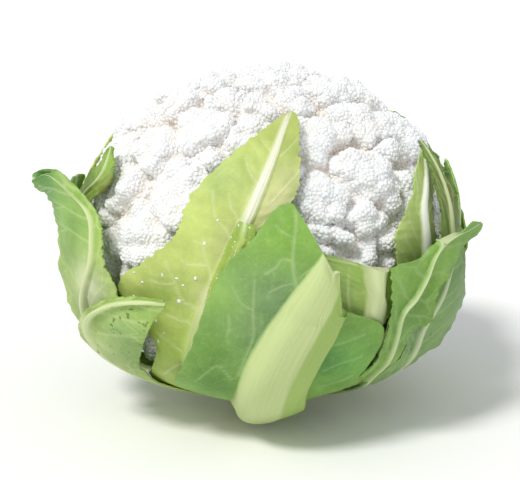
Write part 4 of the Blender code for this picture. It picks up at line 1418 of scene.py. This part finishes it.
@dataclass
class Foliage:
    """All the leaves, and the drops of water that stand on two of them."""

    leaves: tuple[Leaf, ...] = LEAVES

    def build(self) -> None:
        """Makes and dresses every leaf, then its drops."""
        finishes = {
            Slot.YELLOW_LEAF: LeafFinish("tender_leaf", 0.42, glow=paint(214, 236, 110)).make(),
            Slot.GREEN_LEAF: LeafFinish("waxy_leaf", 0.5).make(),
        }
        water = WaterFinish("water").make()
        for leaf in self.leaves:
            mesh = LeafSheet(leaf).mesh()
            if leaf.drops:
                self.drops(leaf, leaf.drops, mesh, water)
            show(leaf.name + "_visual", mesh, finishes[leaf.slot], leaf.slot, leaf.name)

    @staticmethod
    def drops(leaf: Leaf, drops: Drops, mesh: bpy.types.Mesh, water: bpy.types.Material) -> None:
        """Strews drops over the wet part of a leaf.

        Args:
            leaf: the leaf.
            drops: its drops.
            mesh: its mesh.
            water: the drops' material.
        """
        growth = Growth(leaf.name + "_drops")
        spacing = growth.size("Drop spacing", drops.spacing)
        radius = growth.size("Drop radius", drops.radius)
        kept = growth.size("Share kept", drops.kept)
        points, turn = growth.strew(spacing, MOST_DROPS, growth.read("wet") * kept, leaf.seed)
        squash = growth.chance((0.45, 0.45, 0.3), (1.35, 1.2, 0.6), leaf.seed + 1)
        growth.finish(growth.stand(points, growth.ball(9, 6, radius), turn, squash), water)
        made = growth.grow(leaf.name + "_drops", mesh)
        for name in [a.name for a in made.attributes if a.name in ("wet", "vein", "rib", "cut", "soil")]:
            made.attributes.remove(made.attributes[name])
        show(leaf.name + "_drops", made, water, leaf.slot)


# ---------------------------------------------------------------------------------------------------
# The curd

# The florets that shape the curd's front: azimuth, elevation and radius in millimetres
FRONT_FLORETS = (
    (25, 40, 24), (57, 42, 25), (39, 24, 28), (18, 18, 22), (33, 10, 24), (20, 8, 19), (33, 1, 18),
    (-30, 45, 30), (-46, 31, 25), (-28, 20, 30), (-44, 5, 30), (-64, 56, 17), (-25, 57, 21),
    (0, 80, 24), (-2, 57, 20), (62, 64, 21), (17, 61, 19), (-11, 42, 22), (-18, 31, 20),
    (-56, 17, 19), (54, 30, 16), (0, 30, 22), (4, 8, 20), (60, 12, 24), (-70, 20, 24),
    (-64, 8, 20), (17, -3, 20), (41, 3, 17), (-50, -11, 20), (47, -4, 24), (24, -8, 24),
    (-60, -3, 26), (-38, -14, 24), (-52, -24, 26), (64, -6, 24),
)


@dataclass
class Curd:
    """The white head: florets on a dome, lumps on the florets, knobs on the lumps and buds over all."""

    DOME_CUTS: ClassVar[int] = 7
    CROWDING: ClassVar[float] = 0.3  # how much finer the dome's mesh is near its top
    SWAY: ClassVar[float] = 0.012  # how far the creases stray
    SWAY_WAVES: ClassVar[int] = 7
    SWAY_SEED: ClassVar[int] = 5
    CREASE_WIDTH: ClassVar[float] = 0.34  # as a share of a floret's radius
    CREASE_POWER: ClassVar[float] = 1.6
    MOST_FALL: ClassVar[float] = 6.0  # of a floret towards its edge, in millimetres
    BUD_SIDES: ClassVar[int] = 7
    BUD_RINGS: ClassVar[int] = 4
    MOST_BUDS: ClassVar[float] = 1.6e6  # to a square metre
    BUD_SEED: ClassVar[int] = 4
    MAP_REACH: ClassVar[float] = 0.46  # share of its cell of the map that half a bud fills

    drop: float = 50.0  # underside below the head's centre, in millimetres
    floret_radius: float = 23.0
    floret_spacing: float = 15.0
    spread_florets: int = 46
    floret_round: float = 5.5  # how far a floret falls away towards its edge
    floret_crease: float = 5.0  # how much deeper the crease between two florets is
    inset: float = 0.2  # the body lies this far in, for the buds that cover it
    low_floret: Triple = (-48, -38, 9)  # azimuth, elevation and reach of one that hangs low, in degrees
    low_rise: float = 20.5  # how far it stands out
    lump_size: float = 0.0098
    lump_depth: float = 0.0029
    knob_size: float = 0.0056
    knob_depth: float = 0.0012
    bud_radius: float = 0.00128
    bud_spacing: float = 0.00145
    bud_sink: float = 0.45  # share of a bud's radius that lies under the surface
    sectors: int = 5

    def florets(self) -> tuple[np.ndarray, np.ndarray]:
        """The florets' directions and radii: the placed ones, then a spiral that fills the dome."""
        placed = np.array(FRONT_FLORETS, float)
        centres = list(directions(placed[:, 0], placed[:, 1]))
        radii = list(placed[:, 2])
        known = len(centres)
        golden_angle = 180 * (3 - math.sqrt(5))
        for index in range(self.spread_florets):
            height = 1 - 1.25 * (index + 0.5) / self.spread_florets
            pointing = directions(np.array(index * golden_angle), np.degrees(np.arcsin(height)))
            nearest = np.degrees(np.arccos(np.clip(np.array(centres[:known]) @ pointing, -1, 1))).min()
            if nearest > self.floret_spacing:
                centres.append(pointing)
                radii.append(self.floret_radius)
        return np.array(centres), np.array(radii)

    def waves(self, pointing: np.ndarray) -> np.ndarray:
        """Smooth vectors over the dome, which make its creases stray."""
        chance = np.random.default_rng(self.SWAY_SEED)
        total = 0
        for _ in range(self.SWAY_WAVES):
            phase = pointing @ unit(chance.normal(size=3)) * chance.uniform(14, 30) + chance.uniform(0, 6)
            total = total + np.sin(phase)[:, None] * chance.normal(size=3)
        return total

    def dome(self) -> bpy.types.Mesh:
        """The body with its florets, and how deep each point lies between them."""
        ball = bmesh.new()
        bmesh.ops.create_icosphere(ball, subdivisions=self.DOME_CUTS, radius=1.0)
        mesh = bpy.data.meshes.new("curd_dome")
        ball.to_mesh(mesh)
        ball.free()
        flat = np.empty(len(mesh.vertices) * 3, np.float32)
        mesh.vertices.foreach_get("co", flat)
        pointing = unit(flat.reshape(-1, 3).astype(float))
        polar = np.arccos(pointing[:, 2].clip(-1, 1))
        turn = np.arctan2(pointing[:, 0], -pointing[:, 1])
        polar -= self.CROWDING * np.sin(polar)
        pointing = directions(np.degrees(turn), 90 - np.degrees(polar))
        rise = elevations(pointing)

        centres, radii = self.florets()
        bent = unit(pointing + self.SWAY * self.waves(pointing))
        reach = np.arccos((bent @ centres.T).clip(-1, 1)) * CURD_RADIUS / radii
        nearest = np.partition(reach, 1, axis=1)
        first, second = nearest[:, 0], nearest[:, 1]
        crease = (1 - smooth((second - first) / self.CREASE_WIDTH)) ** self.CREASE_POWER
        fall = np.minimum(self.floret_round * first**2, self.MOST_FALL)
        away = fall * smooth((rise + 12) / 24) + self.floret_crease * crease
        cover = smooth((rise + 42) / 22)
        outer = outline_radius(rise, CURD_RADIUS, CURD_TOP, self.drop)
        near = apart(pointing, *self.low_floret[:2]) / self.low_floret[2]
        radius = outer - self.inset - away * cover + self.low_rise * np.exp(-(near**2))
        places = pointing * radius[:, None] + [0, 0, HEAD_HEIGHT]
        mesh.vertices.foreach_set("co", (places * MM).astype(np.float32).ravel())
        store(mesh, "floret", (crease * 0.75 + np.minimum(first, 1) ** 2 * 0.35).clip(0, 1) * cover)
        store(mesh, "cover", cover)
        azimuth = np.degrees(turn)
        low = np.where((azimuth > -78) & (azimuth < -25), -50.0, np.where(np.abs(azimuth) < 75, -22.0, -14.0))
        store(mesh, "budded", (rise > low).astype(float))
        polar_share = (90 - rise) / 180 * 0.49
        around = np.stack([0.5 + polar_share * np.sin(turn), 0.5 - polar_share * np.cos(turn)], -1)
        lay_map(mesh, BAKE_MAP, around[corner_points(mesh)])
        mesh.shade_smooth()
        return mesh

    def lumps(self, dome: bpy.types.Mesh, finish: bpy.types.Material) -> bpy.types.Mesh:
        """Raises lumps on the florets and knobs on the lumps.

        Args:
            dome: the body with its florets.
            finish: the curd's material.

        Returns:
            The lumpy body.
        """
        growth = Growth("curd_lumps")
        g = growth.graph
        shape = growth.mesh
        cover = growth.read("cover")
        place = g.value("GeometryNodeInputPosition", 0)
        normal = g.value("GeometryNodeInputNormal", 0)
        for name, size, depth, round_off in (
            ("lump", self.lump_size, self.lump_depth, 1.45),
            ("knob", self.knob_size, self.knob_depth, 1.4),
        ):
            wide = growth.size(name.capitalize() + " size", size)
            deep = growth.size(name.capitalize() + " depth", depth)
            inputs = {"Vector": place, "Scale": 1 / wide, "Randomness": 0.9}
            cells = g.value("ShaderNodeTexVoronoi", "Distance", None, inputs)
            top = 1 - (cells * round_off) ** 2.0
            kept = growth.keep(shape, name, top.held())
            push = growth.scaled(normal, (growth.read(name) - 0.6) * deep * cover)
            shape = growth.move(kept, push)
        growth.finish(shape, finish)
        return growth.grow("curd_body", dome)

    def buds(self, body: bpy.types.Mesh, sector: int, finish: bpy.types.Material) -> bpy.types.Mesh:
        """Covers one sector of the body in buds.

        Args:
            body: the lumpy body.
            sector: which sector, counted from the back to the right.
            finish: the buds' material.

        Returns:
            The sector's buds.
        """
        growth = Growth(f"curd_buds_{sector}")
        g = growth.graph
        spacing = growth.size("Bud spacing", self.bud_spacing)
        radius = growth.size("Bud radius", self.bud_radius)
        wide = 2 * math.pi / self.sectors
        start = growth.size("Sector start", -math.pi + sector * wide)
        end = growth.size("Sector end", -math.pi + (sector + 1) * wide)
        strewn, way = growth.strew(spacing, self.MOST_BUDS, 1.0, self.BUD_SEED)
        place = g.node("ShaderNodeSeparateXYZ", None, {0: g.value("GeometryNodeInputPosition", 0)})
        side, back = Value(g, place.outputs["X"]), 0 - Value(g, place.outputs["Y"])
        turn = g.value("ShaderNodeMath", 0, {"operation": "ARCTAN2"}, {0: side, 1: back})
        inside = self.above(g, turn, start) * (1 - self.above(g, turn, end))
        kept = inside * self.above(g, growth.read("budded"), 0.5)
        inputs = {"Geometry": strewn, "Selection": 1 - kept}
        points = g.value("GeometryNodeDeleteGeometry", 0, {"domain": "POINT"}, inputs)
        bud = growth.ball(self.BUD_SIDES, self.BUD_RINGS, 1.0)
        bud = growth.keep(bud, "bud_height", Value(g, place.outputs["Z"]))
        sink = growth.size("Bud sink", (0.0, 0.0, -self.bud_sink), "NodeSocketVector")
        bud = growth.move(bud, sink)
        scale = growth.scaled(growth.chance((0.85, 0.85, 0.7), (1.15, 1.15, 0.85), 9), radius)
        growth.finish(growth.stand(points, bud, way, scale), finish)
        made = growth.grow(f"curd_buds_{sector}", body)
        self.map_buds(made)
        return made

    @staticmethod
    def above(graph: Graph, value: Value, limit: object) -> Value:
        """1 where a value is over a limit, otherwise 0."""
        return graph.value("ShaderNodeMath", 0, {"operation": "GREATER_THAN"}, {0: value, 1: limit})

    @classmethod
    def map_buds(cls, mesh: bpy.types.Mesh) -> None:
        """Unrolls each bud, from its top outwards, into its own cell of a map."""
        points = cls.BUD_SIDES * (cls.BUD_RINGS - 1) + 2
        count = len(mesh.vertices) // points
        side = max(1, math.ceil(math.sqrt(count)))
        corners = corner_points(mesh)
        totals = np.empty(len(mesh.polygons), np.int32)
        mesh.polygons.foreach_get("loop_total", totals)
        face = np.repeat(np.arange(len(totals)), totals)
        height = np.empty(len(mesh.vertices), np.float32)
        mesh.attributes["bud_height"].data.foreach_get("value", height)
        own = corners % points
        cell = corners // points
        tilt = np.arccos(height[corners].clip(-1, 1)) / math.pi
        pole = (own == 0) | (own == points - 1)
        turn = 2 * math.pi * ((own - 1) % cls.BUD_SIDES) / cls.BUD_SIDES
        cosine = np.where(pole, 0, np.cos(turn))
        sine = np.where(pole, 0, np.sin(turn))
        cosines = np.bincount(face, cosine)[face]
        sines = np.bincount(face, sine)[face]
        long = np.maximum(np.hypot(cosines, sines), 1e-9)
        cosine = np.where(pole, cosines / long, cosine)
        sine = np.where(pole, sines / long, sine)
        reach = cls.MAP_REACH * tilt
        across = (cell % side + 0.5 + reach * cosine) / side
        up = (cell // side + 0.5 + reach * sine) / side
        lay_map(mesh, BAKE_MAP, np.stack([across, up], -1))

    def build(self) -> None:
        """Makes the curd's body and its buds."""
        body_finish = CurdFinish("curd_flesh", on_buds=False).make()
        bud_finish = CurdFinish("curd_bud", on_buds=True).make()
        body = self.lumps(self.dome(), body_finish)
        for sector in range(self.sectors):
            mesh = self.buds(body, sector, bud_finish)
            show(f"curd_buds_{sector}", mesh, bud_finish, Slot.CURD, "curd")
        show("curd_body", body, body_finish, Slot.CURD, "curd")


# ---------------------------------------------------------------------------------------------------
# The stalk


@dataclass
class Stalk:
    """The short trimmed stalk, turned and ridged, with the cut face that it stands on."""

    rim: float = 1.5  # rounding of the cut face's edge, in millimetres
    turns: int = 144
    ridge: float = 0.35

    def build(self) -> None:
        """Makes and dresses the stalk inside the box of its solid."""
        low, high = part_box("stalk")
        top = high[2] / MM
        wide = (high[0] - low[0]) / 2 / MM
        heights = np.linspace(top, self.rim, 26)
        share = heights / top
        side = np.interp(share, [0, 0.3, 0.6, 0.97, 1.0], [0.94, 0.94, 0.97, 1.0, 0.93]) * wide - 0.5
        bend = np.linspace(0, math.pi / 2, 5)[1:]
        edge = side[-1] - self.rim
        rings = [
            (top, 0.25 * wide), (top, 0.6 * wide),
            *zip(heights, side),
            *zip(self.rim * (1 - np.sin(bend)), edge + self.rim * np.cos(bend)),
            *((0.0, edge * part) for part in (0.95, 0.88, 0.8, 0.72, 0.6, 0.45, 0.3, 0.15)),
        ]
        turn = np.linspace(0, 2 * math.pi, self.turns, endpoint=False)
        profile = np.array(rings)
        on_side = smooth((profile[:, 0] - 0.3) / 2)[:, None]
        ridges = np.sin(turn * 9 + 1) + 0.7 * np.sin(turn * 17 + 2) + 0.5 * np.sin(turn * 31)
        reach = profile[:, 1][:, None] + (ridges - 1.2) * self.ridge * on_side
        reach *= 1 + 0.012 * np.sin(turn * 2 + 0.6) + 0.008 * np.sin(turn * 3)
        height = np.repeat(profile[:, 0][:, None], self.turns, 1)
        places = np.stack([reach * np.sin(turn), -reach * np.cos(turn), height], -1).reshape(-1, 3)
        places = np.concatenate([places, [[0, 0, top], [0, 0, 0]]])
        index = np.arange(len(rings) * self.turns).reshape(len(rings), self.turns)
        after = np.roll(index, -1, axis=1)
        quads = np.stack([index[:-1], index[1:], after[1:], after[:-1]], -1).reshape(-1, 4).tolist()
        up, down = len(places) - 2, len(places) - 1
        caps = [[up, int(a), int(b)] for a, b in zip(index[0], after[0])]
        caps += [[down, int(b), int(a)] for a, b in zip(index[-1], after[-1])]
        mesh = mesh_of("stalk", places * MM, quads + caps)
        flat = profile[:, 0] <= self.rim * 0.35
        cut = np.append(np.repeat(flat, self.turns), [0, 1]).astype(float)
        inward = 1 - np.hypot(places[:, 0], places[:, 1]) / edge
        store(mesh, "cut", cut)
        store(mesh, "inward", inward.clip(0, 1))
        show("stalk_visual", mesh, StalkFinish("stalk_flesh").make(), Slot.STALK, "stalk")


# ---------------------------------------------------------------------------------------------------
# The studio


@dataclass
class Studio:
    """A plain pale floor, soft light from the upper left and the camera in front."""

    floor_radius: float = 6.0
    elevation: float = 15.0
    distance: float = 0.8
    lens: float = 120.0
    target: Triple = (-0.0023, 0.0, 0.0748)
    sky: float = 0.62
    sun: float = 2.3
    sun_spread: float = 14.0
    sun_azimuth: float = -38.0
    sun_elevation: float = 52.0

    def build(self) -> None:
        """Lays the floor, hangs the light and sets the camera."""
        self.floor()
        self.light()
        self.camera()

    def floor(self) -> None:
        """The floor, which the head's cut face stands on."""
        ground = bmesh.new()
        bmesh.ops.create_circle(ground, cap_ends=True, segments=96, radius=self.floor_radius)
        mesh = bpy.data.meshes.new("floor")
        ground.to_mesh(mesh)
        ground.free()
        mesh.materials.append(FloorFinish("pale_floor").make())
        floor = add("floor", mesh)

    def light(self) -> None:
        """A broad sun and an even sky."""
        world = bpy.data.worlds.new("soft_sky")
        world.use_nodes = True
        sky = world.node_tree.nodes["Background"]
        sky.inputs["Color"].default_value = (0.96, 0.98, 1.0, 1.0)
        sky.inputs["Strength"].default_value = self.sky
        bpy.context.scene.world = world
        bpy.context.scene.view_settings.view_transform = "Standard"
        lamp = bpy.data.lights.new("sun", "SUN")
        lamp.energy = self.sun
        lamp.angle = math.radians(self.sun_spread)
        lamp.color = (1.0, 0.985, 0.95)
        sun = add("sun", lamp)
        towards = directions(np.array(self.sun_azimuth), np.array(self.sun_elevation))
        sun.rotation_mode = "QUATERNION"
        sun.rotation_quaternion = vector(towards).to_track_quat("Z", "Y")
        sun.location = towards * 2

    def camera(self) -> None:
        """The camera, level with the front and a little above it."""
        data = bpy.data.cameras.new("camera")
        data.lens = self.lens
        data.sensor_width = 36.0
        camera = add("camera", data)
        back = directions(np.array(0.0), np.array(self.elevation))
        camera.location = np.array(self.target) + back * self.distance
        camera.rotation_mode = "QUATERNION"
        camera.rotation_quaternion = vector(-back).to_track_quat("-Z", "Y")
        bpy.context.scene.camera = camera


def vector(numbers: np.ndarray) -> Vector:
    """The numbers as Blender's own vector."""
    return Vector(numbers.tolist())


def corners(bounds: tuple) -> list[list[float]]:
    """A box's two corners as plain lists."""
    return [list(map(float, corner)) for corner in bounds]


def main() -> None:
    """Builds every part of the head in order."""
    logging.basicConfig(level=logging.INFO, format="%(name)s: %(message)s")
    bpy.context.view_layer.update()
    Studio().build()
    Curd().build()
    Stalk().build()
    Foliage().build()


if __name__ == "__main__":
    main()
